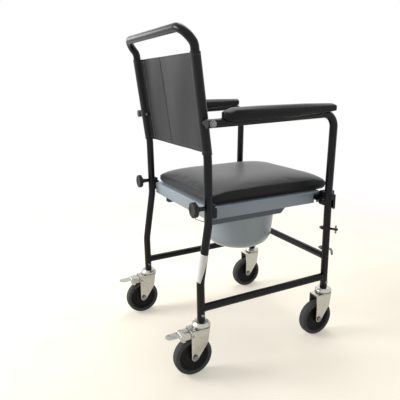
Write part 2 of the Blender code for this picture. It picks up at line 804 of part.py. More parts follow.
def build_arm_pad(word, side, path, hinge):
    """A crowned pad whose underside has a groove for the tube and lifts towards the front."""
    across = side * ARM_HALF
    rear = ARM_PIVOT_Y - PAD_REAR
    front = ARM_FRONT_Y + PAD_FRONT
    middle, half_y = (rear + front) / 2, (rear - front) / 2
    bm = bmesh.new()
    bmesh.ops.create_cube(bm, size=2.0)
    for axis, cuts in ((0, 3), (1, 2)):
        edges = [
            edge for edge in bm.edges
            if abs(edge.verts[0].co[axis] - edge.verts[1].co[axis]) > 1.0
        ]
        bmesh.ops.subdivide_edges(bm, edges=edges, cuts=cuts, use_grid_fill=True)
    for vert in bm.verts:
        u, v, w = vert.co
        y = middle + v * half_y + PAD_SLANT * (1 - side * u) / 2 * (1 - v) / 2
        lift = PAD_PROW * max(0.0, 1 - (y - front) / PAD_PROW_LENGTH)
        top = PAD_SIDE + PAD_CROWN * (1 - u * u)
        z = PAD_BASE_Z + (top if w > 0 else lift)
        vert.co = (across + u * PAD_HALF_WIDTH, y, z)
    pad = bevel(object_from_bmesh("arm_pad_" + word, bm), PAD_EDGE_R, 3)
    cut(pad, tube("tube_groove", path, TUBE_R + GAP))
    finish_part(pad, "black_vinyl", hinge)


def build_arm_latch(word, side, across, hinge):
    """A lever on the front of the arm's foot, on a pin through the tube."""
    turn = add_empty("latch_hinge_" + word, (across, ARM_FRONT_Y, LATCH_Z), hinge)
    inner = TUBE_R + RUN_GAP
    outer = inner + LATCH_WALL
    low_z, high_z = LATCH_Z - LATCH_BOTTOM, LATCH_Z + LATCH_TOP
    wall_y = ARM_FRONT_Y - TUBE_R - LATCH_FRONT_ROOM
    low = (across - outer, wall_y - LATCH_FRONT_WALL, low_z)
    latch = box("arm_latch_" + word, low, (across + outer, ARM_FRONT_Y + 0.005, high_z))
    bevel(latch, 0.0015, 1)
    room_low = (across - inner, wall_y, low_z - 0.01)
    cut(latch, box("latch_room", room_low, (across + inner, ARM_FRONT_Y + 0.02, high_z + 0.01)))
    foot_low = (across - 2 * outer, ARM_FRONT_Y - 0.008, low_z - 0.01)
    foot_high = (across + 2 * outer, ARM_FRONT_Y + 0.02, LATCH_Z - 0.009)
    cut(latch, box("latch_foot", foot_low, foot_high))
    pin = (across - outer + 0.001, ARM_FRONT_Y, LATCH_Z)
    join(latch, cylinder("pin", pin, (across + outer - 0.001, ARM_FRONT_Y, LATCH_Z), LATCH_PIN_R, 12))
    finish_part(latch, "black_plastic", turn)


def build_arm_pivot(word, side):
    """A bolt with its washer and nut, and the spacer that holds the arm off the post."""
    axis = (ARM_PIVOT_Y, ARM_PIVOT_Z)
    nut_face = side * (HALF_TRACK - TUBE_R - GAP)
    head_face = side * (ARM_HALF + TUBE_R + GAP)

    def along(name, start, end, radius, sides):
        return cylinder(name, (start, *axis), (end, *axis), radius, sides)

    washer_end = head_face + side * WASHER
    head_end = washer_end + side * HEAD
    tip = nut_face - side * (PIVOT_NUT + BOLT_PROUD)
    bolt = along("arm_pivot_bolt_" + word, tip, head_end - side * BOLT_PROUD, PIVOT_R, 12)
    join(bolt, along("washer", head_face, washer_end, WASHER_R, 16))
    join(bolt, along("head", washer_end - side * WASHER / 4, head_end, HEAD_R, 6))
    join(bolt, along("nut", nut_face, nut_face - side * PIVOT_NUT, NUT_R, 6))
    finish_part(bolt, "zinc")
    inside = side * (HALF_TRACK + TUBE_R + GAP)
    outside = side * (ARM_HALF - TUBE_R - GAP)
    spacer = along("arm_spacer_" + word, inside - side * 0.004, outside, SPACER_R, 20)
    low, high = ARM_PIVOT_Z - 0.03, ARM_PIVOT_Z + 0.03
    post_low = (side * HALF_TRACK, post_axis(low), low)
    post_high = (side * HALF_TRACK, post_axis(high), high)
    cut(spacer, cylinder("post_room", post_low, post_high, TUBE_R + GAP, 24))
    cut(spacer, along("spacer_bore", inside - side * 0.02, outside + side * 0.01, PIVOT_R + GAP, 12))
    finish_part(spacer, "black_plastic")


# Clamps between the posts, the seat and the front legs

def build_rear_clamp(word, side):
    across = side * HALF_TRACK
    front = REAR_LEG_Y - REAR_CLAMP_FRONT
    inside, outside = across - side * CLAMP_HALF, across + side * REAR_CLAMP_OUTSIDE
    low = (min(inside, outside), front, REAR_CLAMP_LOW_Z)
    high = (max(inside, outside), POST_Y + 0.002, REAR_CLAMP_HIGH_Z)
    clamp = bevel(box("rear_clamp_" + word, low, high), 0.003, 1)
    cap_low = (low[0], POST_Y - TUBE_R - REAR_CLAMP_CAP, WHEEL_KNOB_Z - REAR_CLAMP_CAP_HALF)
    join(clamp, box("cap", cap_low, (high[0], POST_Y, WHEEL_KNOB_Z + REAR_CLAMP_CAP_HALF)))
    if word == "right":
        join(clamp, tether(side))
    cut(clamp, leg_clearance(across, POST_Y, REAR_CLAMP_LOW_Z - 0.01, REAR_CLAMP_HIGH_Z + 0.03))
    stud = (across, POST_Y, WHEEL_KNOB_Z)
    stud_end = (across, POST_Y - TUBE_R - STUD_REACH - GAP, WHEEL_KNOB_Z)
    cut(clamp, cylinder("stud_bore", stud, stud_end, STUD_R + RUN_GAP, 12))
    inner = (across - side * 0.02, REAR_STUB_Y, SEAT_TUBE_Z)
    end = (across, REAR_STUB_Y, SEAT_TUBE_Z)
    cut(clamp, cylinder("stub_socket", inner, end, STUB_R + GAP, 16))
    finish_part(clamp, "black_plastic")


def tether(side):
    """A thin wire from the clamp, past the post's inner side, to a ring on the hand wheel's neck."""
    across = HALF_TRACK
    low_z = SEAT_TUBE_Z - TETHER_DROP
    ring_y = POST_Y + TUBE_R + GAP + WHEEL_KNOB_NECK - 2 * TETHER_R
    beside = across - TUBE_R - 2 * TETHER_R
    corners = [
        (beside + 2 * TETHER_R, REAR_STUB_Y + STUB_R, REAR_CLAMP_LOW_Z + 3 * TETHER_R),
        (beside, POST_Y - TUBE_R, low_z),
        (beside, POST_Y + TUBE_R, low_z + 0.004),
        (across - TETHER_RING_R, ring_y, low_z + 0.017),
        (across - TETHER_RING_R, ring_y, WHEEL_KNOB_Z),
    ]
    path = fillet_path(corners, [0.004, 0.010, 0.006], 30)
    ring = arc((across, WHEEL_KNOB_Z), TETHER_RING_R, 180, -60, 8)
    points = [*path[:-1], *(Vector((x, ring_y, z)) for x, z in ring)]
    return tube("tether", [(side * x, y, z) for x, y, z in points], TETHER_R, 6)


def build_front_clamp(word, side):
    """A cap on the front leg that holds the seat's front stub and the stud that the arm drops on."""
    across = side * HALF_TRACK
    rear = FRONT_LEG_Y + TUBE_R + FRONT_CLAMP_REAR
    low = (across - CLAMP_HALF, FRONT_LEG_Y - CLAMP_HALF, FRONT_CLAMP_LOW_Z)
    clamp = box("front_clamp_" + word, low, (across + CLAMP_HALF, rear, FRONT_CLAMP_HIGH_Z))
    bevel(clamp, 0.003, 1)
    board_side = side * (BOARD_HALF_WIDTH + GAP)
    boss_end = board_side + side * BOSS
    arm_low = (min(board_side, boss_end), rear - CLAMP_LAP, SEAT_TUBE_Z - CLAMP_ARM_HALF)
    arm_high = (max(board_side, boss_end), FRONT_STUB_Y, SEAT_TUBE_Z + CLAMP_ARM_HALF)
    join(clamp, box("clamp_arm", arm_low, arm_high))
    boss_face = (board_side, FRONT_STUB_Y, SEAT_TUBE_Z)
    boss_back = (boss_end, FRONT_STUB_Y, SEAT_TUBE_Z)
    join(clamp, cylinder("boss", boss_face, boss_back, BOSS_R, 16))
    cut(clamp, leg_clearance(across, FRONT_LEG_Y, FRONT_CLAMP_LOW_Z - 0.01, FRONT_LEG_TOP_Z + GAP))
    socket = (board_side - side * 0.01, FRONT_STUB_Y, SEAT_TUBE_Z)
    socket_end = (side * (HALF_TRACK - 0.001 + GAP), FRONT_STUB_Y, SEAT_TUBE_Z)
    cut(clamp, cylinder("stub_socket", socket, socket_end, STUB_R + GAP, 16))
    face = across + side * (CLAMP_HALF - STUD_ROOT_INSET)
    tip = side * (ARM_HALF - TUBE_R + STUD_ROOT_INSET)
    stud = (face, ARM_FRONT_Y, ARM_STUD_Z)
    stud_end = (tip, ARM_FRONT_Y, ARM_STUD_Z)
    root = face + side * STUD_ROOT
    root_low = (min(face, root), rear - CLAMP_LAP, ARM_STUD_Z - STUD_ROOT_HALF)
    root_high = (max(face, root), ARM_FRONT_Y + STUD_ROOT_HALF, ARM_STUD_Z + STUD_ROOT_HALF)
    join(clamp, box("stud_root", root_low, root_high))
    join(clamp, cylinder("arm_stud", stud, stud_end, ARM_STUD_R, 12))
    finish_part(clamp, "black_plastic")


def build_hand_wheel(word, side):
    """A fluted knob on a stud that runs through the post into the rear clamp."""
    across = side * HALF_TRACK
    turn = add_empty("hand_wheel_axis_" + word, (across, POST_Y, WHEEL_KNOB_Z))
    count = WHEEL_KNOB_FLUTES * 4
    outline = []
    for step in range(count):
        angle = 2 * math.pi * step / count
        dip = (0.5 - 0.5 * math.cos(WHEEL_KNOB_FLUTES * angle)) ** 3
        radius = WHEEL_KNOB_R - WHEEL_KNOB_FLUTE * dip
        outline.append((across + radius * math.cos(angle), WHEEL_KNOB_Z + radius * math.sin(angle)))
    neck_start = POST_Y + TUBE_R + GAP
    disc_start = neck_start + WHEEL_KNOB_NECK
    wheel = slab("hand_wheel_" + word, [outline], WHEEL_KNOB, facing_rear(disc_start + WHEEL_KNOB / 2))
    bevel(wheel, 0.002, 1, 60)
    neck = (across, neck_start, WHEEL_KNOB_Z)
    neck_end = (across, disc_start + 0.004, WHEEL_KNOB_Z)
    join(wheel, cylinder("neck", neck, neck_end, WHEEL_KNOB_NECK_R, 16, WHEEL_KNOB_NECK_R * 1.5))
    stud = (across, POST_Y - TUBE_R - STUD_REACH, WHEEL_KNOB_Z)
    stud_end = (across, disc_start, WHEEL_KNOB_Z)
    join(wheel, cylinder("stud", stud, stud_end, STUD_R, 12))
    finish_part(wheel, "black_plastic", turn)


# Footrest lugs and cross bolts

def lug_point(side, reach, height):
    """A point on a lug's axis, which runs outboard and forward through the front leg."""
    across = side * (HALF_TRACK + reach * math.sin(LUG_TURN))
    return Vector((across, FRONT_LEG_Y - reach * math.cos(LUG_TURN), height))


def add_lug_nut(lug, side, height):
    start = lug_point(side, -TUBE_R - GAP, height)
    end = lug_point(side, -TUBE_R - GAP - LUG_NUT, height)
    join(lug, cylinder("nut", start, end, LUG_NUT_R, 6))


def build_footrest_peg(word, side):
    """A bolt through the leg with an upright pin near its outer end."""
    inner = lug_point(side, -LUG_INBOARD, PEG_Z)
    outer = lug_point(side, PEG_OUTBOARD, PEG_Z)
    peg = cylinder("footrest_peg_" + word, inner, outer, LUG_R, 12)
    middle = lug_point(side, PEG_OUTBOARD - PEG_PIN_BACK, PEG_Z)
    half = Vector((0.0, 0.0, PEG_PIN_HALF))
    join(peg, cylinder("pin", middle - half, middle + half, PEG_PIN_R, 12))
    add_lug_nut(peg, side, PEG_Z)
    finish_part(peg, "black_paint")


def build_footrest_hook(word, side):
    """A rod through the leg whose outer end turns down."""
    corners = [
        lug_point(side, -LUG_INBOARD, HOOK_Z),
        lug_point(side, HOOK_OUTBOARD, HOOK_Z),
        lug_point(side, HOOK_OUTBOARD + HOOK_END, HOOK_Z - HOOK_DROP),
    ]
    hook = tube("footrest_hook_" + word, fillet_path(corners, [HOOK_BEND_R], 20), LUG_R, 10)
    add_lug_nut(hook, side, HOOK_Z)
    finish_part(hook, "black_paint")


def build_leg_bolt(word, side, along):
    height = LEG_BOTTOM_Z + CROSS_BOLT_UP
    inner = side * (HALF_TRACK - TUBE_R - 0.003)
    face = side * (HALF_TRACK + TUBE_R + GAP)
    start = (inner, along, height)
    bolt = cylinder("leg_bolt_" + word, start, (face + side * 0.001, along, height), CROSS_BOLT_R, 12)
    head_end = (face + side * CROSS_HEAD, along, height)
    head = cylinder("head", (face, along, height), head_end, CROSS_HEAD_R, 12, CROSS_HEAD_R * 0.75)
    join(bolt, head)
    finish_part(bolt, "zinc")


# Casters: cup with stem, fork, axle, hub, tyre and, on the rear pair, a brake pedal

def build_caster(word, side, along):
    across = side * HALF_TRACK
    cup_profile = [
        (0.0, CUP_TOP_Z + SOCKET_DEPTH - 0.005),
        (SOCKET_R - 0.0015, CUP_TOP_Z + SOCKET_DEPTH - 0.005),
        (SOCKET_R, CUP_TOP_Z + SOCKET_DEPTH - 0.008),
        (SOCKET_R, CUP_TOP_Z),
        (CUP_NECK_R, CUP_TOP_Z),
        (CUP_NECK_R + 0.001, CUP_TOP_Z - CUP_NECK),
        (CUP_R - 0.002, CUP_TOP_Z - CUP_SHOULDER),
        (CUP_R, CUP_TOP_Z - CUP_BAND),
        (CUP_R, CUP_BOTTOM_Z + CUP_FOOT),
        (CUP_R - 0.003, CUP_BOTTOM_Z),
        (0.0, CUP_BOTTOM_Z),
    ]
    cup = turned("caster_cup_" + word, cup_profile, 14)
    cup.location = (across, along, 0.0)
    cut(cup, cross_hole(across, along))
    finish_part(cup, "zinc")
    swivel = add_empty("swivel_" + word, (across, along, FORK_TOP_Z))
    build_fork(word, across, along, swivel)
    axle_y = along + CASTER_TRAIL
    build_axle(word, across, axle_y, swivel)
    roll = add_empty("wheel_axis_" + word, (across, axle_y, AXLE_Z), swivel)
    build_wheel(word, across, axle_y, roll)
    if word.startswith("rear"):
        build_brake_pedal(word, across, along, swivel)


def build_fork(word, across, along, swivel):
    """A pressed channel: crown plate over the wheel and two tapering cheeks."""
    top, plate = FORK_TOP_Z, FORK_PLATE
    half = FORK_HALF_GAP + plate
    axle_y = along + CASTER_TRAIL
    rear_y = axle_y + FORK_TIP_R
    crown_outline = (
        [(across + half, along + FORK_REAR)]
        + [(across - half, along + FORK_REAR)]
        + arc((across, along), CUP_R - 0.001, 180 + 30, 360 - 30, 6)
    )
    fork = slab("caster_fork_" + word, [crown_outline], plate, level(top - plate / 2))
    cheek = (
        [(along - FORK_FRONT, top - plate / 2), (rear_y, top - plate / 2)]
        + arc((axle_y, AXLE_Z), FORK_TIP_R, 0, -150, 6)
        + [(along - FORK_SHOULDER_FRONT, top - FORK_SHOULDER)]
    )
    for side in SIDES.values():
        middle = across + side * (FORK_HALF_GAP + plate / 2)
        join(fork, slab("cheek", [cheek], plate, facing_side(middle)))
    start = (across - 2 * half, axle_y, AXLE_Z)
    cut(fork, cylinder("axle_hole", start, (across + 2 * half, axle_y, AXLE_Z), AXLE_R + GAP, 12))
    if word.startswith("rear"):
        pin_y, pin_z = brake_pin(along)
        pin = (across - 2 * half, pin_y, pin_z)
        tool = cylinder("brake_hole", pin, (across + 2 * half, pin_y, pin_z), BRAKE_PIN_R + RUN_GAP, 12)
        cut(fork, tool)
    finish_part(fork, "zinc", swivel)


def build_axle(word, across, axle_y, swivel):
    face = FORK_HALF_GAP + FORK_PLATE + GAP

    def along(name, start, end, radius, sides):
        return cylinder(
            name, (across + start, axle_y, AXLE_Z), (across + end, axle_y, AXLE_Z), radius, sides
        )

    axle = along("caster_axle_" + word, -face - 0.001, face + 0.001, AXLE_R, 16)
    join(axle, along("head", -face, -face - AXLE_HEAD, AXLE_HEAD_R, 6))
    join(axle, along("nut", face, face + AXLE_HEAD, AXLE_HEAD_R, 6))
    finish_part(axle, "zinc", swivel)


def build_wheel(word, across, axle_y, roll):
    """Hub and tyre, faceted so that a flat meets the floor."""
    outer = WHEEL_R / math.cos(math.pi / WHEEL_FACETS)
    seat = outer - TYRE_THICK
    half = TREAD_WIDTH / 2
    tyre_profile = [
        (seat, half - TYRE_BEAD),
        (outer - TYRE_SHOULDER, half),
        (outer - TYRE_EDGE, half - TYRE_BEAD),
        (outer, half - TREAD_EDGE),
        (outer, TREAD_EDGE - half),
        (outer - TYRE_EDGE, TYRE_BEAD - half),
        (outer - TYRE_SHOULDER, -half),
        (seat, TYRE_BEAD - half),
    ]
    rim = seat - GAP
    boss = HUB_WIDTH / 2
    web = HUB_WEB_HALF
    lip = rim - HUB_LIP
    hub_profile = [
        (HUB_BORE_R, boss),
        (HUB_BOSS_R, boss),
        (HUB_BOSS_R + 0.002, web),
        (lip, web),
        (rim, half - 0.0045),
        (rim, 0.0045 - half),
        (lip, -web),
        (HUB_BOSS_R + 0.002, -web),
        (HUB_BOSS_R, -boss),
        (HUB_BORE_R, -boss),
    ]
    half_step = math.pi / WHEEL_FACETS
    upright = Matrix.Rotation(math.radians(90), 4, "Y") @ Matrix.Rotation(half_step, 4, "Z")
    for name, profile, finish in (
        ("caster_tyre_", tyre_profile, "tyre_rubber"),
        ("caster_hub_", hub_profile, "hub_plastic"),
    ):
        piece = turned(name + word, profile, WHEEL_FACETS, ring=True)
        piece.matrix_world = Matrix.Translation((across, axle_y, AXLE_Z)) @ upright
        finish_part(piece, finish, roll)


def brake_pin(along):
    return along + BRAKE_PIN_BACK, FORK_TOP_Z - FORK_PLATE - BRAKE_PIN_DOWN


def build_brake_pedal(word, across, along, swivel):
    """A channel between the fork's cheeks, on a pin, with a shoe over the tread and a tongue behind."""
    pin_y, pin_z = brake_pin(along)
    turn = add_empty("brake_hinge_" + word, (across, pin_y, pin_z), swivel)
    half = FORK_HALF_GAP - RUN_GAP
    top = FORK_TOP_Z - FORK_PLATE - RUN_GAP
    end_y = along + BRAKE_ARM_BACK
    outline = [
        (pin_y - 0.005, pin_z - 0.004),
        (pin_y + 0.006, pin_z - 0.0055),
        (end_y, top - BRAKE_ARM_DEPTH - 0.002),
        (end_y, top - 0.004),
        (end_y - 0.004, top - 0.001),
        (pin_y + 0.003, top),
        (pin_y - 0.005, pin_z + 0.006),
    ]
    pedal = slab("brake_pedal_" + word, [outline], 2 * half, facing_side(across))
    room = half - BRAKE_PLATE
    room_low = (across - room, pin_y - 0.02, pin_z - 0.03)
    cut(pedal, box("channel_room", room_low, (across + room, end_y + 0.02, top - BRAKE_PLATE - 0.001)))
    shoe_y = along + BRAKE_SHOE_BACK
    from_axle = shoe_y - BRAKE_SHOE_HALF - along - CASTER_TRAIL
    tread_z = AXLE_Z + math.sqrt(WHEEL_R ** 2 - from_axle ** 2)
    shoe_low = (across - room - 0.001, shoe_y - BRAKE_SHOE_HALF, tread_z + BRAKE_SHOE_CLEAR)
    shoe_high = (across + room + 0.001, shoe_y + BRAKE_SHOE_HALF, top - BRAKE_PLATE)
    join(pedal, box("shoe", shoe_low, shoe_high))
    width = BRAKE_TONGUE_HALF_WIDTH
    tip = (across, along + BRAKE_REACH - width)
    tongue = (
        arc(tip, width, 0, 180, 8)
        + [(across - width, end_y - 0.006), (across + width, end_y - 0.006)]
    )
    join(pedal, slab("tongue", [tongue], BRAKE_PLATE, level(top - 0.0055)))
    reach = FORK_HALF_GAP + FORK_PLATE + 0.002
    pin = (across - reach, pin_y, pin_z)
    join(pedal, cylinder("brake_pin", pin, (across + reach, pin_y, pin_z), BRAKE_PIN_R, 12))
    finish_part(pedal, "zinc", turn)


build_back_frame()
build_crossbar()
build_seat_frame()
build_seat_board()
build_cushion()
build_pan()
build_sling()
for side_word, side_sign in SIDES.items():
    build_front_leg(side_word, side_sign)
    build_side_rail(side_word, side_sign)
    build_pan_guide(side_word, side_sign)
    build_arm(side_word, side_sign)
    build_arm_pivot(side_word, side_sign)
    build_rear_clamp(side_word, side_sign)
    build_front_clamp(side_word, side_sign)
    build_hand_wheel(side_word, side_sign)
    build_footrest_peg(side_word, side_sign)
    build_footrest_hook(side_word, side_sign)
for corner_word, (corner_side, corner_y) in CORNERS.items():
    build_leg_bolt(corner_word, corner_side, corner_y)
    build_caster(corner_word, corner_side, corner_y)
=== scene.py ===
import math

import bpy
from mathutils import Matrix, Vector


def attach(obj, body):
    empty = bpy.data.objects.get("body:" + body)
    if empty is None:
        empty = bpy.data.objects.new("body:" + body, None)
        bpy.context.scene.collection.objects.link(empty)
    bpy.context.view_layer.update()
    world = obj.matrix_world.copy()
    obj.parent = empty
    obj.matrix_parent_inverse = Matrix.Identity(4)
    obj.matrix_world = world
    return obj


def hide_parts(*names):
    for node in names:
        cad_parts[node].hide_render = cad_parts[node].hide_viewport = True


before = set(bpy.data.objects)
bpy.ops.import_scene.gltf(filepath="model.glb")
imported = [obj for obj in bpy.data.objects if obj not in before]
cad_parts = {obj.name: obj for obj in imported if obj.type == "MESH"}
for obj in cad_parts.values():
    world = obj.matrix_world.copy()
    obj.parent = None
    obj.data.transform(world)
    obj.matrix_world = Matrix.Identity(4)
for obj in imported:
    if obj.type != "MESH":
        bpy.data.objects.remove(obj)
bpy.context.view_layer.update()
scene = bpy.context.scene
print("frame loaded:", len(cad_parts), "nodes")

# The wheeled commode chair: the sitter faces -Y, their right is -X, and lengths are in metres.
chair = {
    "track": 0.228,            # middle of a leg from the middle plane
    "rearLegY": 0.19925,
    "frontLegY": -0.28875,
    "postY": 0.16925,
    "tube": 0.0125,
    "reclineZ": 0.672,
    "recline": math.radians(6.6),
    "pivotY": 0.18097,
    "pivotZ": 0.7733,
    "armX": 0.270,
    "armFrontY": -0.24875,
}
sides = {"right": -1, "left": 1}
corners = {
    "rear_right": (-1, chair["rearLegY"]),
    "rear_left": (1, chair["rearLegY"]),
    "front_right": (-1, chair["frontLegY"]),
    "front_left": (1, chair["frontLegY"]),
}


# Small tools

def deselectAll():
    if bpy.context.mode != "OBJECT":
        bpy.ops.object.mode_set(mode="OBJECT")
    bpy.ops.object.select_all(action="DESELECT")


def makeActive(piece):
    deselectAll()
    piece.select_set(True)
    bpy.context.view_layer.objects.active = piece
    return piece


def addObject(name, data):
    piece = bpy.data.objects.new(name, data)
    scene.collection.objects.link(piece)
    return piece


def addShape(name, operator, **settings):
    deselectAll()
    operator(**settings)
    piece = bpy.context.object
    piece.name = name
    return piece


def editAll(piece, operator, **settings):
    # one operator in edit mode, over the whole mesh
    makeActive(piece)
    bpy.ops.object.mode_set(mode="EDIT")
    bpy.ops.mesh.select_all(action="SELECT")
    operator(**settings)
    bpy.ops.object.mode_set(mode="OBJECT")
    return piece


def addModifier(piece, kind, **settings):
    makeActive(piece)
    step = piece.modifiers.new(kind.lower(), kind)
    for key, value in settings.items():
        setattr(step, key, value)
    bpy.ops.object.modifier_apply(modifier=step.name)
    return piece


def applyPlace(piece):
    makeActive(piece)
    bpy.ops.object.transform_apply(location=True, rotation=True, scale=True)
    return piece


def turnOutwards(piece):
    return editAll(piece, bpy.ops.mesh.normals_make_consistent, inside=False)


def cleanUp(piece):
    # doubles merged, open ends closed, faces turned outwards
    editAll(piece, bpy.ops.mesh.remove_doubles, threshold=0.00001)
    editAll(piece, bpy.ops.mesh.fill_holes, sides=0)
    return turnOutwards(piece)


def roundEdges(piece, width, steps=2, degrees=40):
    # the edges that turn by more than the angle
    return addModifier(piece, "BEVEL", width=width, segments=steps, limit_method="ANGLE",
                       angle_limit=math.radians(degrees))


def finishPiece(piece, body, material, nodes=(), smooth=38):
    applyPlace(piece)
    piece.data.materials.clear()
    piece.data.materials.append(material)
    bpy.ops.object.shade_smooth_by_angle(angle=math.radians(smooth))
    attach(piece, body)
    if nodes:
        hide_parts(*nodes)
    return piece


def giveFaces(piece, material, test):
    # a second finish for the faces whose middle passes the test
    piece.data.materials.append(material)
    number = len(piece.data.materials) - 1
    for face in piece.data.polygons:
        if test(face.center):
            face.material_index = number


def copyPiece(source, name, move=(0, 0, 0), mirror=False):
    piece = addObject(name, source.data.copy())
    piece.location = move
    if mirror:
        piece.scale = (-1, 1, 1)
    applyPlace(piece)
    return turnOutwards(piece) if mirror else piece


def turnRings(name, rings, count, closed=False):
    # (radius, height) rings: a circle, extruded and resized from ring to ring
    radius, height = rings[0]
    piece = addShape(name, bpy.ops.mesh.primitive_circle_add, vertices=count, radius=radius,
                     fill_type="NOTHING")
    bpy.ops.object.mode_set(mode="EDIT")
    bpy.ops.mesh.select_all(action="SELECT")
    bpy.ops.transform.translate(value=(0, 0, height))
    if closed:
        rings = [*rings, rings[0]]
    for (before, low), (after, high) in zip(rings, rings[1:]):
        bpy.ops.mesh.extrude_region_move(TRANSFORM_OT_translate={"value": (0, 0, high - low)})
        grow = after / before
        bpy.ops.transform.resize(value=(grow, grow, 1), center_override=(0, 0, 0))
    bpy.ops.object.mode_set(mode="OBJECT")
    return cleanUp(piece)


def standOn(piece, place, axis):
    # turns a piece made about Z onto an axis and puts it in place
    makeActive(piece)
    piece.rotation_euler = Vector(axis).to_track_quat("Z", "Y").to_euler()
    piece.location = place
    return applyPlace(piece)


def bentTube(name, points, bends, radius, count=32):
    # a ring extruded along the straight runs and spun round the bends
    points = [Vector(point) for point in points]
    heading = (points[1] - points[0]).normalized()
    piece = addShape(
        name, bpy.ops.mesh.primitive_circle_add, vertices=count, radius=radius,
        fill_type="NOTHING", location=points[0],
        rotation=heading.to_track_quat("Z", "Y").to_euler())
    applyPlace(piece)
    bpy.ops.object.mode_set(mode="EDIT")
    bpy.ops.mesh.select_all(action="SELECT")
    at = points[0]
    for before, corner, after, bend in zip(points, points[1:], points[2:], bends):
        back = (before - corner).normalized()
        ahead = (after - corner).normalized()
        half = back.angle(ahead) / 2
        reach = bend / math.tan(half)
        bpy.ops.mesh.extrude_region_move(
            TRANSFORM_OT_translate={"value": corner + back * reach - at})
        turn = math.pi - 2 * half
        bpy.ops.mesh.spin(
            steps=max(3, round(math.degrees(turn) / 5)), angle=-turn,
            center=corner + (back + ahead).normalized() * (bend / math.sin(half)),
            axis=ahead.cross(back).normalized())
        at = corner + ahead * reach
    bpy.ops.mesh.extrude_region_move(TRANSFORM_OT_translate={"value": points[-1] - at})
    bpy.ops.object.mode_set(mode="OBJECT")
    return cleanUp(piece)


def addRod(name, start, end, radius, count=32):
    start, end = Vector(start), Vector(end)
    run = end - start
    return applyPlace(addShape(
        name, bpy.ops.mesh.primitive_cylinder_add, vertices=count, radius=radius,
        depth=run.length, location=(start + end) / 2,
        rotation=run.to_track_quat("Z", "Y").to_euler()))


def cutAway(piece, tool):
    addModifier(piece, "BOOLEAN", operation="DIFFERENCE", object=tool, solver="EXACT")
    bpy.data.objects.remove(tool, do_unlink=True)
    return piece


def cutHole(piece, start, end, radius):
    return cutAway(piece, addRod("hole", start, end, radius, 24))


def cutAcross(piece, place, reach, radius):
    # a hole along X, reaching as far on both sides of a place
    x, y, z = place
    return cutHole(piece, (x - reach, y, z), (x + reach, y, z), radius)


def solidCopy(node, bevel):
    # the CAD piece again, merged, with its sharp edges rounded
    piece = addObject(node + "_finished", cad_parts[node].data.copy())
    makeActive(piece)
    if piece.data.has_custom_normals:
        bpy.ops.mesh.customdata_custom_splitnormals_clear()
    editAll(piece, bpy.ops.mesh.remove_doubles, threshold=0.00002)
    editAll(piece, bpy.ops.mesh.dissolve_limited, angle_limit=math.radians(1))
    return roundEdges(piece, bevel) if bevel else piece


def roundRim(piece, height, radius, isRim):
    # the moulded upper edge, rounded more than the other edges
    makeActive(piece)
    mesh = piece.data
    leans = {}
    for face in mesh.polygons:
        for key in face.edge_keys:
            leans.setdefault(key, []).append(face.normal.z)
    mesh.vertices.foreach_set("select", [False] * len(mesh.vertices))
    mesh.polygons.foreach_set("select", [False] * len(mesh.polygons))
    for edge in mesh.edges:
        ends = [mesh.vertices[number].co for number in edge.vertices]
        lean = leans.get(edge.key, [0.0])
        # level on one side and steep on the other
        edge.select = (all(abs(end.z - height) < 0.0005 and isRim(end) for end in ends)
                       and max(lean) > 0.9 and min(lean) < 0.5)
    bpy.context.tool_settings.mesh_select_mode = (False, True, False)
    bpy.ops.object.mode_set(mode="EDIT")
    bpy.ops.mesh.bevel(offset=radius, segments=4, affect="EDGES")
    bpy.ops.object.mode_set(mode="OBJECT")
    return piece


def postY(height):
    return chair["postY"] + (height - chair["reclineZ"]) * math.tan(chair["recline"])


# Finishes

def hexColour(text):
    channels = [int(text[at:at + 2], 16) / 255 for at in (1, 3, 5)]
    linear = [c / 12.92 if c <= 0.04045 else ((c + 0.055) / 1.055) ** 2.4 for c in channels]
    return (*linear, 1.0)


def addNode(tree, kind, settings=None, links=None):
    node = tree.nodes.new(kind)
    for key, value in (settings or {}).items():
        if isinstance(key, int) or key in node.inputs:
            node.inputs[key].default_value = value
        else:
            setattr(node, key, value)
    for key, source in (links or {}).items():
        tree.links.new(source, node.inputs[key])
    return node


def startMaterial(name, colour, roughness, sockets=None):
    material = bpy.data.materials.new(name)
    material.use_nodes = True
    tree = material.node_tree
    shader = tree.nodes["Principled BSDF"]
    shader.inputs["Base Color"].default_value = hexColour(colour)
    shader.inputs["Roughness"].default_value = roughness
    for key, value in (sockets or {}).items():
        shader.inputs[key].default_value = value
    where = addNode(tree, "ShaderNodeTexCoord")
    return material, tree, shader, where


def addNoise(tree, where, size, detail):
    # size is in millimetres
    noise = addNode(tree, "ShaderNodeTexNoise", {"Scale": 1000 / size, "Detail": detail},
                    {"Vector": where.outputs["Object"]})
    return noise.outputs["Fac"]


def mapRange(tree, source, fromRange=(0.0, 1.0), toRange=(0.0, 1.0)):
    (fromMin, fromMax), (toMin, toMax) = fromRange, toRange
    spread = addNode(tree, "ShaderNodeMapRange",
                     {"From Min": fromMin, "From Max": fromMax, "To Min": toMin, "To Max": toMax},
                     {"Value": source})
    return spread.outputs["Result"]


def doMath(tree, operation, *values):
    # each value is a number or the socket that it comes from
    step = addNode(tree, "ShaderNodeMath", {"operation": operation})
    for number, value in enumerate(values):
        if isinstance(value, (int, float)):
            step.inputs[number].default_value = value
        else:
            tree.links.new(value, step.inputs[number])
    return step.outputs[0]


def mixColours(tree, share, *colours):
    # each colour is a hex text or the socket that it comes from
    mixed = addNode(tree, "ShaderNodeMix", {"data_type": "RGBA"}, {0: share})
    for number, colour in zip((6, 7), colours):
        if isinstance(colour, str):
            mixed.inputs[number].default_value = hexColour(colour)
        else:
            tree.links.new(colour, mixed.inputs[number])
    return mixed.outputs[2]


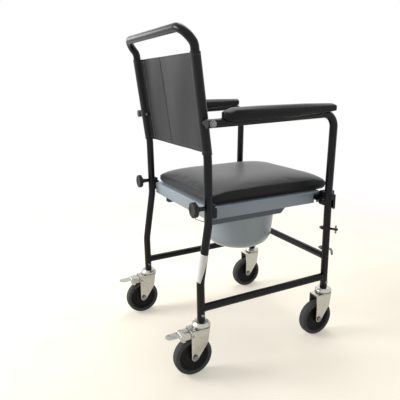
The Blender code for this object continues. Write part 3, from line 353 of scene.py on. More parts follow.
def mottleColour(tree, shader, where, colours, size, contrast=0.5):
    # slow patches between two colours; size is in millimetres
    patches = addNoise(tree, where, size, 4.0)
    spread = mapRange(tree, patches, (0.5 - contrast / 2, 0.5 + contrast / 2))
    mixed = mixColours(tree, spread, *colours)
    tree.links.new(mixed, shader.inputs["Base Color"])
    return patches, mixed


def varyRoughness(tree, shader, source, low, high):
    tree.links.new(mapRange(tree, source, (0.3, 0.7), (low, high)), shader.inputs["Roughness"])


def raiseGrain(tree, shader, height, depth, strength=1.0):
    # depth is in millimetres
    bump = addNode(tree, "ShaderNodeBump", {"Distance": depth / 1000, "Strength": strength},
                   {"Height": height})
    tree.links.new(bump.outputs["Normal"], shader.inputs["Normal"])


def makePaint():
    # Stoved gloss enamel on steel tube: near black with thin sharp highlights
    material, tree, shader, where = startMaterial(
        "glossBlackEnamel", "#0F1114", 0.20, {"Specular IOR Level": 0.22})
    patches = mottleColour(tree, shader, where, ("#0B0D13", "#12151C"), 26)[0]
    varyRoughness(tree, shader, patches, 0.16, 0.26)
    # a faint orange peel 2.2 mm across, where the real one is nearer 1 mm
    raiseGrain(tree, shader, addNoise(tree, where, 2.2, 2.0), 0.05, 0.5)
    return material


def makeVinyl(name, colours, roughness, grain, depth, sheen):
    # PVC-coated cloth over foam: a pressed leather grain
    material, tree, shader, where = startMaterial(
        name, colours[0], roughness,
        {"Specular IOR Level": 0.17, "Sheen Weight": sheen, "Sheen Roughness": 0.5})
    mottleColour(tree, shader, where, colours, 40)
    cells = addNode(tree, "ShaderNodeTexVoronoi",
                    {"feature": "SMOOTH_F1", "Scale": 1000 / grain, "Smoothness": 0.6},
                    {"Vector": where.outputs["Object"]}).outputs["Distance"]
    varyRoughness(tree, shader, cells, roughness - 0.05, roughness + 0.10)
    raiseGrain(tree, shader, cells, depth, 0.8)
    return material


def makeMoulded(name, colours, roughness, grain, depth, gloss=0.5, patch=60):
    # Injection moulded plastic: even colour with a fine spark-eroded grain from the mould
    material, tree, shader, where = startMaterial(
        name, colours[0], roughness, {"Specular IOR Level": gloss})
    patches = mottleColour(tree, shader, where, colours, patch)[0]
    varyRoughness(tree, shader, patches, roughness - 0.04, roughness + 0.05)
    raiseGrain(tree, shader, addNoise(tree, where, grain, 3.0), depth, 0.6)
    return material


def makeZinc(name, colours, roughness, drawn):
    # Bright zinc plate on pressed steel: cloudy crystals, and fine drawing lines from the press
    material, tree, shader, where = startMaterial(name, colours[0], roughness, {"Metallic": 1.0})
    clouds, mixed = mottleColour(tree, shader, where, colours, 9, 0.6)
    varyRoughness(tree, shader, clouds, roughness - 0.03, roughness + 0.06)
    stretch = addNode(tree, "ShaderNodeMapping", {"Scale": (1000 / drawn, 1000 / drawn, 60.0)},
                      {"Vector": where.outputs["Object"]})
    lines = addNode(tree, "ShaderNodeTexNoise", {"Scale": 1.0, "Detail": 3.0},
                    {"Vector": stretch.outputs["Vector"]})
    raiseGrain(tree, shader, lines.outputs["Fac"], 0.02, 0.07)
    # painted shade: the plate's colour is darkened towards #3E3E3B in the corners of the pressing,
    # within 6 mm
    corner = addNode(tree, "ShaderNodeAmbientOcclusion", {"samples": 16, "Distance": 0.006})
    paintedCornerShade = mixColours(tree, corner.outputs["AO"], "#3E3E3B", mixed)
    tree.links.new(paintedCornerShade, shader.inputs["Base Color"])
    return material


def makeRubber():
    # Solid non-marking rubber: matt grey, scuffed lighter in patches
    material, tree, shader, where = startMaterial(
        "greyTyreRubber", "#48484B", 0.72, {"Specular IOR Level": 0.3})
    scuffs = mottleColour(tree, shader, where, ("#3F3F42", "#525255"), 7)[0]
    varyRoughness(tree, shader, scuffs, 0.62, 0.85)
    raiseGrain(tree, shader, scuffs, 0.15, 0.5)
    return material


def makeWire():
    # Galvanised wire: dull grey, with short dark bands of painted shade where the grooves of a
    # twisted strand would be
    material, tree, shader, where = startMaterial(
        "galvanisedWire", "#8C8E90", 0.42, {"Metallic": 0.8})
    strandGrooveShade = addNode(tree, "ShaderNodeTexWave", {"Scale": 1000 / 6.0, "Distortion": 1.0},
                    {"Vector": where.outputs["Object"]})
    mixed = mixColours(tree, strandGrooveShade.outputs["Fac"], "#4E5052", "#8A8C8E")
    tree.links.new(mixed, shader.inputs["Base Color"])
    return material


finishes = {
    "paint": makePaint(),
    "cushion": makeVinyl("blackCushionVinyl", ("#090A0D", "#0F1114"), 0.36, 1.8, 0.10, 0.24),
    "pad": makeVinyl("blackPadVinyl", ("#090A0D", "#0F1114"), 0.30, 1.5, 0.10, 0.10),
    "black": makeMoulded("blackNylon", ("#0F1013", "#15171A"), 0.40, 0.9, 0.05, 0.25),
    "knob": makeMoulded("mattBlackNylon", ("#1D1E20", "#26282A"), 0.55, 0.8, 0.06, 0.3),
    "hub": makeMoulded("blackHubNylon", ("#0B0B0C", "#121213"), 0.50, 0.9, 0.05, 0.2),
    "board": makeMoulded("greyBluePolypropylene", ("#96A2AB", "#9DA9B2"), 0.36, 1.0, 0.05, 0.4),
    "guide": makeMoulded("slateGuidePlastic", ("#5C6671", "#646E79"), 0.46, 1.0, 0.05, 0.3),
    "pan": makeMoulded("paleGreyPanPlastic", ("#9EA9B0", "#A5B0B7"), 0.24, 1.2, 0.03, 0.5, 150),
    "zinc": makeZinc("brightZincPlate", ("#B6B6B0", "#C4C4BE"), 0.26, 0.8),
    "steel": makeZinc("zincPlatedFastener", ("#727476", "#8E9092"), 0.22, 0.5),
    "rubber": makeRubber(),
    "wire": makeWire(),
}
print("finishes made:", len(finishes))


# Tube frame

tubeFrame = {
    "legBottomZ": 0.172, "lowBendZ": 0.300, "highBendZ": 0.480, "legBend": 0.150,
    "reclineBend": 0.120, "topZ": 0.981, "handleLean": math.radians(39), "handleReach": 0.053,
    "handleBend": 0.028, "cornerBend": 0.043, "railZ": 0.2125, "crossbarZ": 0.287,
    "rail": 0.0125, "frontLegTopZ": 0.520, "gap": 0.0003,
    # holes: their radii, and how far their cutters reach from the middle of the tube
    "socket": 0.0089, "socketDepth": 0.045, "crossBolt": 0.0034, "crossBoltUp": 0.022,
    "pivot": 0.0044, "handStud": 0.0047, "handStudZ": 0.527, "through": 0.02,
    "lug": 0.0046, "lugHeights": (0.390, 0.317), "lugTurn": math.radians(58), "lugReach": 0.022,
}


def cutStemSocket(piece, x, y):
    # the bore for the caster's stem, and the hole for its cross bolt
    size, z = tubeFrame, tubeFrame["legBottomZ"]
    cutHole(piece, (x, y, z - 0.01), (x, y, z + size["socketDepth"]), size["socket"])
    cutAcross(piece, (x, y, z + size["crossBoltUp"]), size["through"], size["crossBolt"])


def makeBackFrame():
    size, x = tubeFrame, chair["track"]
    top = Vector((x, postY(size["topZ"]), size["topZ"]))
    lean = Vector((0, math.sin(size["handleLean"]), math.cos(size["handleLean"])))
    left = [
        Vector((x, chair["rearLegY"], size["legBottomZ"])),
        Vector((x, chair["rearLegY"], size["lowBendZ"])),
        Vector((x, chair["postY"], size["highBendZ"])),
        Vector((x, chair["postY"], chair["reclineZ"])),
        top,
        top + lean * size["handleReach"],
    ]
    right = [Vector((-p.x, p.y, p.z)) for p in reversed(left)]
    names = ("legBend", "legBend", "reclineBend", "handleBend", "cornerBend")
    bends = [size[name] for name in names]
    piece = bentTube("back_tube", left + right, bends + bends[::-1], chair["tube"])
    for side in sides.values():
        cutStemSocket(piece, side * x, chair["rearLegY"])
        pivot = (side * x, chair["pivotY"], chair["pivotZ"])
        cutAcross(piece, pivot, size["through"], size["pivot"])
        y, z, reach = chair["postY"], size["handStudZ"], size["through"]
        cutHole(piece, (side * x, y - reach, z), (side * x, y + reach, z), size["handStud"])
    return finishPiece(piece, "frame", finishes["paint"], ["back_frame"])


def makeFrontLegs():
    size, r = tubeFrame, chair["tube"]
    for word, side in sides.items():
        x, y, z = side * chair["track"], chair["frontLegY"], size["legBottomZ"]
        piece = turnRings("front_leg_tube_" + word, [
            (r - 0.0006, z), (r, z + 0.0008), (r, size["frontLegTopZ"] - 0.001),
            (r - 0.0010, size["frontLegTopZ"])], 32)
        standOn(piece, (x, y, 0), (0, 0, 1))
        cutStemSocket(piece, x, y)
        turn = size["lugTurn"]
        reach = Vector((side * math.sin(turn), -math.cos(turn), 0)) * size["lugReach"]
        for height in size["lugHeights"]:
            middle = Vector((x, y, height))
            cutHole(piece, middle - reach, middle + reach, size["lug"])
        finishPiece(piece, "frame", finishes["paint"], ["front_leg_" + word])


def makeRail(name, start, end, node):
    # a welded rail with a small bead where it meets each leg
    start, end = Vector(start), Vector(end)
    run = (end - start).length
    clear = chair["tube"] + tubeFrame["gap"]
    r = tubeFrame["rail"]
    rings = [(r + 0.0005, 0.004), (r + 0.0006, clear + 0.0004), (r + 0.0003, clear + 0.0016),
             (r, clear + 0.0028)]
    rings += [(radius, run - height) for radius, height in reversed(rings)]
    piece = turnRings(name, rings, 32)
    standOn(piece, start, end - start)
    reach = Vector((0, 0, 0.03))
    for place in (start, end):
        cutHole(piece, place - reach, place + reach, clear)
    return finishPiece(piece, "frame", finishes["paint"], [node])


makeBackFrame()
makeFrontLegs()
for word, side in sides.items():
    x = side * chair["track"]
    makeRail("side_rail_tube_" + word, (x, chair["rearLegY"], tubeFrame["railZ"]),
             (x, chair["frontLegY"], tubeFrame["railZ"]), "lower_side_rail_" + word)
makeRail("crossbar_tube", (-chair["track"], chair["frontLegY"], tubeFrame["crossbarZ"]),
         (chair["track"], chair["frontLegY"], tubeFrame["crossbarZ"]), "front_crossbar")
print("tube frame made")


# Arms: tube, pad

arm = {
    "tail": 0.013, "rise": 0.009, "lean": 0.006, "leanZ": 0.540, "footZ": 0.4775, "bend": 0.042,
    "pivotHole": 0.0047, "latchZ": 0.516, "latchHole": 0.0032, "through": 0.022,
    "studZ": 0.4965, "studRoom": 0.0056, "slotBack": 0.0122, "slotDepth": 0.0356,
    "padHalf": 0.0265, "padBase": 0.7775, "padSide": 0.030, "padCrown": 0.007,
    "padRear": 0.14497, "padFront": -0.24275, "padSlant": 0.012,
    "prow": 0.0125, "prowLength": 0.170, "rearPlan": 0.013, "rearDrop": 0.010,
    "round": 0.010, "roundSteps": 4, "roundFrom": 50, "voxel": 0.003, "smooth": 4,
    "frames": 14, "pressure": 3.0, "cap": 0.0022, "inset": 0.0012,
}


def armPath(side):
    x, y, z = side * chair["armX"], chair["pivotY"], chair["pivotZ"]
    slope = arm["rise"] / (y - chair["armFrontY"])
    return [
        (x, y + arm["tail"], z - slope * arm["tail"]),
        (x, chair["armFrontY"] - arm["lean"], z + arm["rise"]),
        (x, chair["armFrontY"], arm["leanZ"]),
        (x, chair["armFrontY"], arm["footZ"]),
    ]


def makeArmTube(word, side):
    piece = bentTube("arm_bar_" + word, armPath(side), [arm["bend"]] * 2, chair["tube"])
    x, y = side * chair["armX"], chair["armFrontY"]
    cutAcross(piece, (x, chair["pivotY"], chair["pivotZ"]), arm["through"], arm["pivotHole"])
    cutAcross(piece, (x, y, arm["latchZ"]), arm["through"], arm["latchHole"])
    # the slot that drops over the front stud
    low, high = arm["footZ"] - 0.01, arm["studZ"] + arm["studRoom"]
    slot = addShape(
        "slot", bpy.ops.mesh.primitive_cube_add, size=1,
        location=(x - side * chair["tube"], y + arm["slotBack"], (low + high) / 2),
        scale=(2 * chair["tube"], arm["slotDepth"], high - low))
    cutAway(piece, applyPlace(slot))
    finishPiece(piece, "arm_" + word, finishes["paint"], ["arm_tube_" + word])


foam = {
    "quality": 5, "mass": 0.3, "tension_stiffness": 30, "compression_stiffness": 30,
    "bending_stiffness": 2, "use_pressure": True,
}


def swell(piece, frames, pressure, cap):
    # foam pushes the skin out; no point moves further than the cap
    before = [vert.co.copy() for vert in piece.data.vertices]
    makeActive(piece)
    cloth = piece.modifiers.new("cloth", "CLOTH")
    for key, value in foam.items():
        setattr(cloth.settings, key, value)
    cloth.settings.uniform_pressure_force = pressure
    cloth.settings.effector_weights.gravity = 0
    cloth.collision_settings.use_collision = False
    for number in range(1, frames + 1):
        scene.frame_set(number)
    bpy.ops.object.modifier_apply(modifier=cloth.name)
    scene.frame_set(1)
    for vert, start in zip(piece.data.vertices, before):
        move = vert.co - start
        if move.length > cap:
            vert.co = start + move * (cap / move.length)
    return piece


def startBlock(name, cuts):
    piece = addShape(name, bpy.ops.mesh.primitive_cube_add, size=2)
    return editAll(piece, bpy.ops.mesh.subdivide, number_cuts=cuts)


def skinBlock(piece, size):
    # rounded edges, an even mesh, and the pressure of the foam
    roundEdges(piece, size["round"], size["roundSteps"], size["roundFrom"])
    makeActive(piece)
    piece.data.remesh_voxel_size = size["voxel"]
    bpy.ops.object.voxel_remesh()
    addModifier(piece, "SMOOTH", factor=0.5, iterations=size["smooth"])
    return swell(piece, size["frames"], size["pressure"], size["cap"])


def makeRightPad():
    x = -chair["armX"]
    half = arm["padHalf"] - arm["inset"]
    rear, front = arm["padRear"] - arm["inset"], arm["padFront"] + arm["inset"]
    middle, halfLength = (rear + front) / 2, (rear - front) / 2

    def undersideAt(y):
        # it rises towards the front, with the bend of the tube
        return arm["padBase"] + arm["prow"] * max(0.0, 1 - (y - front) / arm["prowLength"])

    piece = startBlock("arm_pad_skin_right", 11)
    for vert in piece.data.vertices:
        u, v, w = vert.co
        y = middle + v * halfLength
        inboard = (1 + u) / 2
        y += arm["padSlant"] * inboard * (1 - v) / 2
        y -= arm["rearPlan"] * max(0.0, v - 0.8) / 0.2 * u * u      # rounded rear corners
        low = undersideAt(y) + arm["inset"] * 0.5
        high = arm["padBase"] + arm["padSide"] - arm["inset"] + arm["padCrown"] * (1 - u * u)
        high -= arm["rearDrop"] * (max(0.0, v - 0.86) / 0.14) ** 2
        vert.co = (x + u * half, y, low + (high - low) * (w + 1) / 2)
    skinBlock(piece, arm)
    for vert in piece.data.vertices:   # the board under the foam keeps the underside flat
        vert.co.z = max(vert.co.z, undersideAt(vert.co.y))
    addModifier(piece, "SUBSURF", levels=1, render_levels=1)
    groove = bentTube("groove", armPath(sides["right"]), [arm["bend"]] * 2,
                      chair["tube"] + tubeFrame["gap"], 24)
    return cutAway(piece, groove)


padRight = makeRightPad()
padLeft = copyPiece(padRight, "arm_pad_skin_left", mirror=True)
for word, piece in (("right", padRight), ("left", padLeft)):
    finishPiece(piece, "arm_" + word, finishes["pad"], ["arm_pad_" + word], 50)
for word, side in sides.items():
    makeArmTube(word, side)
print("arms made")


# Cushion

cushion = {
    "halfWidth": 0.209, "front": -0.30875, "rear": 0.15525, "base": 0.5213,
    "edge": 0.040, "crown": 0.019, "draw": 0.004, "tuck": 0.008, "cornerCut": 0.004, "drop": 0.014,
    "round": 0.006, "roundSteps": 3, "roundFrom": 55, "voxel": 0.0050, "smooth": 2,
    "frames": 20, "pressure": 4.0, "cap": 0.0035, "inset": 0.002,
    "pleat": 0.0012, "pleats": 16, "pleatZone": 0.030, "pleatFade": 0.02,
}


def makeCushion():
    size = cushion
    halfX = size["halfWidth"] - size["inset"]
    halfY = (size["rear"] - size["front"]) / 2 - size["inset"]
    middle = (size["rear"] + size["front"]) / 2
    piece = startBlock("cushion_skin", 23)
    for vert in piece.data.vertices:
        u = math.copysign(abs(vert.co.x) ** 0.7, vert.co.x)
        v = math.copysign(abs(vert.co.y) ** 0.7, vert.co.y)
        layer = (vert.co.z + 1) / 2
        crown = size["crown"] * (1 - u ** 4) * (1 - v ** 4)
        drop = size["drop"] * abs(u * v) ** 6
        tuck = size["tuck"] * max(0.0, 1 - 2 * layer) ** 2
        cut = size["cornerCut"] * abs(u * v) ** 12
        insetX = size["draw"] * (1 - v * v) * u * u + cut + tuck * u ** 8
        insetY = size["draw"] * (1 - u * u) * v * v + cut + tuck * v ** 8
        x = u * halfX - math.copysign(insetX, u)
        y = v * halfY - math.copysign(insetY, v) + middle
        z = size["base"] + layer * (size["edge"] - size["inset"] + crown - drop)
        vert.co = (x, y, z)
    skinBlock(piece, size)
    addModifier(piece, "SMOOTH", factor=0.5, iterations=3)
    addModifier(piece, "SUBSURF", levels=1, render_levels=1)
    zone, ease = size["pleatZone"], size["pleatFade"]
    for vert in piece.data.vertices:
        x, y, z = vert.co.x, vert.co.y - middle, vert.co.z
        # the plywood base keeps the underside flat and the skin is pleated under each corner
        cornerX, cornerY = abs(x) - (halfX - zone), abs(y) - (halfY - zone)
        if cornerX > 0 and cornerY > 0 and z < size["base"] + zone:
            turn = math.atan2(cornerY, cornerX)
            fade = min(1.0, cornerX / ease) * min(1.0, cornerY / ease)
            fade *= max(0.0, 1 - (z - size["base"]) / zone)
            push = size["pleat"] * fade * math.cos(turn * size["pleats"])
            vert.co.x -= math.copysign(push, x)
            vert.co.y -= math.copysign(push, y)
        vert.co.z = max(z, size["base"])
    finishPiece(piece, "cushion", finishes["cushion"], ["seat_cushion"], 60)


makeCushion()
print("cushion made")


# Back sling: one sheet, hemmed, folded round both posts and stitched to itself

sling = {
    "bottom": 0.683, "top": 0.961, "thick": 0.0018, "sleeve": 0.0137, "sag": 0.006,
    "fold": 0.0018, "columns": 260, "rows": 100,
    "seamTop": 0.052, "seamBottom": 0.041, "valley": 0.0035, "reach": 0.085,
    "groove": 0.0016, "grooveHalf": 0.0036,
    # the lap: how far inboard of the post's axis, and how far behind the sleeve's front
    "lap": ((0.0310, 0.0021), (0.0215, 0.0023), (0.0150, 0.0077)),
    "boltWindow": 0.012, "boltHole": 0.0078, "through": 0.03,
    # what is sewn and woven: the rows are measured from the hem and from the post's axis
    "weave": 0.0016, "stitch": 0.0025, "stitchGap": 0.0008, "stitchHalf": 0.0006,
    # the last width here is that of the painted highlight along the sleeves' edge
    "hemRow": 0.010, "sleeveRow": 0.0255, "sleeveStart": 0.0150, "edgeHighlight": 0.0012,
    "seamLine": (0.0010, 0.0024),
}


def slingPath():
    # (x, y off the post's axis) along the sheet, from the left post's lap to the right post's
    r, x = sling["sleeve"], chair["track"]
    wrap = [(x - inboard, -r + behind) for inboard, behind in sling["lap"]]
    for step in range(13):
        turn = math.radians(180 - 270 * step / 12)
        wrap.append((x + r * math.cos(turn), r * math.sin(turn)))
    panel = [(x * (1 - 2 * step / 40), -r) for step in range(1, 40)]
    return wrap + panel + [(-px, py) for px, py in reversed(wrap)]


def makeSlingMaterial(pathLength, height):
    # Coated nylon cloth: a soft charcoal sheen, a fine pressed weave, sewn hems and a long seam
    material, tree, shader, where = startMaterial(
        "charcoalSlingVinyl", "#222325", 0.45,
        {"Specular IOR Level": 0.25, "Sheen Weight": 0.08, "Sheen Roughness": 0.45})
    mixed = mottleColour(tree, shader, where, ("#202123", "#28292B"), 70)[1]
    size, middle, track = sling, pathLength / 2, chair["track"]
    parts = addNode(tree, "ShaderNodeSeparateXYZ", None, {0: where.outputs["UV"]})
    along = doMath(tree, "MULTIPLY", parts.outputs["X"], pathLength)
    up = doMath(tree, "MULTIPLY", parts.outputs["Y"], height)
    fromMiddle = doMath(tree, "ABSOLUTE", doMath(tree, "SUBTRACT", along, middle))
    fromWaist = doMath(tree, "ABSOLUTE", doMath(tree, "SUBTRACT", up, height / 2))
    # woven threads 1.6 mm apart, coarser than the real 0.4 mm so that they show
    pace = 2 * math.pi / size["weave"]
    waves = [doMath(tree, "SINE", doMath(tree, "MULTIPLY", way, pace)) for way in (along, up)]
    weave = doMath(tree, "MULTIPLY", *waves)
    # the seam: a dark line that leans a little, as a share of the height
    seamAt = doMath(tree, "MULTIPLY_ADD", parts.outputs["Y"],
                    size["seamBottom"] - size["seamTop"], middle - size["seamBottom"])
    fromSeam = doMath(tree, "ABSOLUTE", doMath(tree, "SUBTRACT", along, seamAt))
    line = mapRange(tree, fromSeam, size["seamLine"], (1.0, 0.0))
    tree.links.new(mapRange(tree, line, toRange=(0.45, 0.95)), shader.inputs["Roughness"])
    # stitches 3.4 mm long with gaps of 1.6 mm, in rows beside the hems and the sleeves
    rows = []
    for way, across, row in ((along, fromWaist, height / 2 - size["hemRow"]),
                             (up, fromMiddle, track - size["sleeveRow"])):
        dash = doMath(tree, "PINGPONG", way, size["stitch"])
        isDash = doMath(tree, "GREATER_THAN", dash, size["stitchGap"])
        onRow = doMath(tree, "COMPARE", across, row, size["stitchHalf"])
        rows.append(doMath(tree, "MULTIPLY", onRow, isDash))
    stitch = doMath(tree, "MAXIMUM", *rows)
    # the sleeves are blacker than the panel, and a pale line along their edge is a painted
    # highlight
    onSleeve = doMath(tree, "GREATER_THAN", fromMiddle, track - size["sleeveStart"])
    onEdgeHighlight = doMath(tree, "GREATER_THAN", fromMiddle, middle - size["edgeHighlight"])
    for share, shade in ((onSleeve, "#101113"), (onEdgeHighlight, "#77797B"), (line, "#090909"),
                         (stitch, "#4A4B4D")):
        mixed = mixColours(tree, share, mixed, shade)
    tree.links.new(mixed, shader.inputs["Base Color"])
    raised = doMath(tree, "MULTIPLY_ADD", weave, 0.12, stitch)
    raiseGrain(tree, shader, doMath(tree, "SUBTRACT", raised, line), 0.35, 0.7)
    return material


def makeSling():
    size = sling
    path = slingPath()
    steps = [math.dist(a, b) for a, b in zip(path, path[1:])]
    total = sum(steps)
    marks = [0.0]
    for step in steps:
        marks.append(marks[-1] + step)

    def pointAt(length):
        spot = 1
        while spot < len(marks) - 1 and marks[spot] < length:
            spot += 1
        share = (length - marks[spot - 1]) / max(steps[spot - 1], 1e-9)
        (ax, ay), (bx, by) = path[spot - 1], path[spot]
        return ax + (bx - ax) * share, ay + (by - ay) * share

    piece = addShape("sling_sheet", bpy.ops.mesh.primitive_grid_add,
                     x_subdivisions=size["columns"], y_subdivisions=size["rows"], size=2)
    height = size["top"] - size["bottom"]
    for vert in piece.data.vertices:
        share, up = (vert.co.x + 1) / 2, (vert.co.y + 1) / 2
        x, off = pointAt(share * total)
        z = size["bottom"] + up * height
        u = x / chair["track"]
        y = postY(z) + off
        if abs(u) < 1:
            y += size["sag"] * (1 - u * u) * (0.6 + 0.4 * math.sin(math.pi * up))
        if abs(u) < 1 and abs(off + size["sleeve"]) < 0.00001:     # the panel, not a lap
            seam = size["seamBottom"] + (size["seamTop"] - size["seamBottom"]) * up
            y += size["fold"] * (1 - u ** 4) * math.sin(7 * u + 4.5 * up + 0.6) * (1 - 0.4 * up)
            y -= size["valley"] * max(0.0, 1 - abs(x - seam) / size["reach"]) * (1 - u * u)
            y -= size["groove"] * max(0.0, 1 - abs(x - seam) / size["grooveHalf"])
        vert.co = (x, y, z)
    addModifier(piece, "SOLIDIFY", thickness=size["thick"], offset=0.0)
    for side in sides.values():
        pivot = Vector((side * chair["track"], chair["pivotY"], chair["pivotZ"]))
        reach = Vector((side * size["through"], 0, 0))
        cutHole(piece, pivot, pivot + reach, size["boltWindow"])
        cutHole(piece, pivot, pivot - reach, size["boltHole"])
    turnOutwards(piece)
    finishPiece(piece, "frame", makeSlingMaterial(total, height), ["back_sling"], 45)


makeSling()
print("sling made")


# Pan and casters

pan = {
    "y": -0.07275, "top": 0.4587, "bottom": 0.3123, "topRadius": 0.131, "bottomRadius": 0.121,
    "corner": 0.052, "wall": 0.0026, "flange": 0.158, "lip": 0.004,
}


def arcPoints(middle, radius, first, last, steps):
    angles = [math.radians(first + (last - first) * step / steps) for step in range(steps + 1)]
    return [(middle[0] + radius * math.cos(a), middle[1] + radius * math.sin(a)) for a in angles]


def makePan():
    top, bottom, wall, corner = (pan[key] for key in ("top", "bottom", "wall", "corner"))
    r, flange, under = pan["topRadius"], pan["flange"], top - pan["lip"]
    middle = (pan["bottomRadius"] - corner, bottom + corner)
    rings = [(0.002, bottom + wall), *arcPoints(middle, corner - wall, -90, 0, 12)]
    rings += [
        (r - wall, top - 0.0015), (r - wall + 0.0015, top), (flange - 0.0012, top),
        (flange, top - 0.0012), (flange, under + 0.0008), (flange - 0.0008, under),
        (flange - 0.003, under), (flange - 0.0038, top - 0.0028), (r + 0.0025, top - 0.0028),
        (r + 0.0004, top - 0.0045)]
    rings += arcPoints(middle, corner, 0, -90, 14)
    rings += [(0.052, bottom), (0.050, bottom + 0.0008), (0.002, bottom + 0.0008)]
    piece = turnRings("pan_shell", rings, 96)
    standOn(piece, (0, pan["y"], 0), (0, 0, 1))
    finishPiece(piece, "pan", finishes["pan"], ["pan"])


caster = {
    "wheel": 0.0625, "trail": 0.032, "cupTop": 0.1717, "cupBottom": 0.1532, "cup": 0.029,
    "neck": 0.0235, "socket": 0.0085,
}


def makeWheels():
    r = caster["wheel"]
    tyreSide = [
        (0.0480, 0.0108), (0.0492, 0.0130), (0.0520, 0.0147), (0.0555, 0.0150), (0.0585, 0.0145),
        (0.0606, 0.0128), (0.0619, 0.0100), (0.0624, 0.0066), (r, 0.0030)]
    tyreRings = tyreSide + [(radius, -across) for radius, across in reversed(tyreSide)]
    hubSide = [
        (0.0062, 0.0160), (0.0067, 0.0165), (0.0124, 0.0165), (0.0130, 0.0158), (0.0138, 0.0072),
        (0.0150, 0.0056), (0.0262, 0.0050), (0.0270, 0.0062), (0.0290, 0.0062), (0.0298, 0.0050),
        (0.0385, 0.0054), (0.0412, 0.0080), (0.0430, 0.0112), (0.0452, 0.0118), (0.0470, 0.0110),
        (0.0477, 0.0098)]
    hubRings = hubSide + [(radius, -across) for radius, across in reversed(hubSide)]
    tyre = turnRings("tyre_master", tyreRings, 72, closed=True)
    hub = turnRings("hub_master", hubRings, 64, closed=True)
    for piece in (tyre, hub):
        standOn(piece, (0, 0, 0), (1, 0, 0))
    for word, (side, y) in corners.items():
        place = (side * chair["track"], y + caster["trail"], r)
        finishPiece(copyPiece(tyre, "tyre_" + word, place), "wheel_" + word, finishes["rubber"],
                    ["caster_tyre_" + word])
        finishPiece(copyPiece(hub, "hub_" + word, place), "wheel_" + word, finishes["hub"],
                    ["caster_hub_" + word], 30)
    bpy.data.objects.remove(tyre, do_unlink=True)
    bpy.data.objects.remove(hub, do_unlink=True)


def makeCups():
    top, bottom, cup = caster["cupTop"], caster["cupBottom"], caster["cup"]
    stem = caster["socket"]
    rings = [
        (stem - 0.0015, top + 0.040), (stem, top + 0.037), (stem, top + 0.0004),
        (caster["neck"] - 0.004, top), (caster["neck"] - 0.001, top - 0.0006),
        (caster["neck"] + 0.0008, top - 0.0030), (cup - 0.0028, top - 0.0052),
        (cup - 0.0010, top - 0.0070), (cup, top - 0.0092), (cup, bottom + 0.0066),
        (cup - 0.0006, bottom + 0.0058), (cup - 0.0024, bottom + 0.0054),
        (cup - 0.0024, bottom + 0.0040), (cup - 0.0004, bottom + 0.0036),
        (cup - 0.0004, bottom + 0.0014), (cup - 0.0020, bottom), (0.004, bottom)]
    master = turnRings("cup_master", rings, 64)
    boltZ = top + tubeFrame["crossBoltUp"] + tubeFrame["gap"]
    cutAcross(master, (0, 0, boltZ), tubeFrame["through"], tubeFrame["crossBolt"])
    for word, (side, y) in corners.items():
        piece = copyPiece(master, "cup_" + word, (side * chair["track"], y, 0))
        finishPiece(piece, "frame", finishes["zinc"], ["caster_cup_" + word])
    bpy.data.objects.remove(master, do_unlink=True)


makePan()
makeWheels()
makeCups()
print("pan and casters made")


# Hand wheels: a fluted disc with a domed face, a tapering neck and a threaded stud

handWheel = {
    "radius": 0.0235, "thick": 0.014, "neckStart": 0.0128, "neck": 0.0275,
    "flutes": 8, "flute": 0.0024, "fluteStart": 0.012,
    "studEnd": -0.0145, "threadStart": -0.0140, "pitch": 0.0012, "root": 0.0035, "crest": 0.0040,
}


def makeHandWheels():
    size = handWheel
    start = size["neckStart"]
    disc = start + size["neck"]
    r, end = size["radius"], disc + size["thick"]
    root, crest, pitch, height = (size[key] for key in ("root", "crest", "pitch", "threadStart"))
    rings = [(root + 0.0001, size["studEnd"]), (crest, height)]
    while height < start - 0.0016:            # thread ridges
        rings += [(root, height + pitch / 2), (crest, height + pitch)]
        height += pitch
    rings += [
        (crest, start), (0.0062, start), (0.0066, start + 0.0006), (0.0068, start + 0.012),
        (0.0086, disc - 0.004), (0.0120, disc - 0.0004), (0.0160, disc), (r - 0.0022, disc),
        (r - 0.0006, disc + 0.0008), (r, disc + 0.0024), (r, end - 0.0030),
        (r - 0.0008, end - 0.0012), (r - 0.0030, end - 0.0002), (r - 0.0070, end),
        (0.0100, end - 0.0004), (0.0090, end - 0.0012), (0.0010, end - 0.0012)]
    master = turnRings("hand_wheel_master", rings, 96)
    for vert in master.data.vertices:
        x, y, z = vert.co
        radius = math.hypot(x, y)
        if radius > size["fluteStart"]:
            wave = 0.5 - 0.5 * math.cos(size["flutes"] * math.atan2(y, x))
            share = (radius - size["fluteStart"]) / (r - size["fluteStart"])
            shrink = 1 - size["flute"] / r * wave ** 3 * share
            vert.co = (x * shrink, y * shrink, z)
    standOn(master, (0, 0, 0), (0, 1, 0))
    studLimit = chair["postY"] + start - 0.0002
    for word, side in sides.items():
        name = "hand_wheel_" + word
        place = (side * chair["track"], chair["postY"], tubeFrame["handStudZ"])
        piece = copyPiece(master, "hand_wheel_knob_" + word, place)
        finishPiece(piece, name, finishes["knob"], [name])
        giveFaces(piece, finishes["steel"], lambda at: at.y < studLimit)
    bpy.data.objects.remove(master, do_unlink=True)


makeHandWheels()
print("hand wheels made")


# The CAD pieces whose shape is right, with their edges rounded

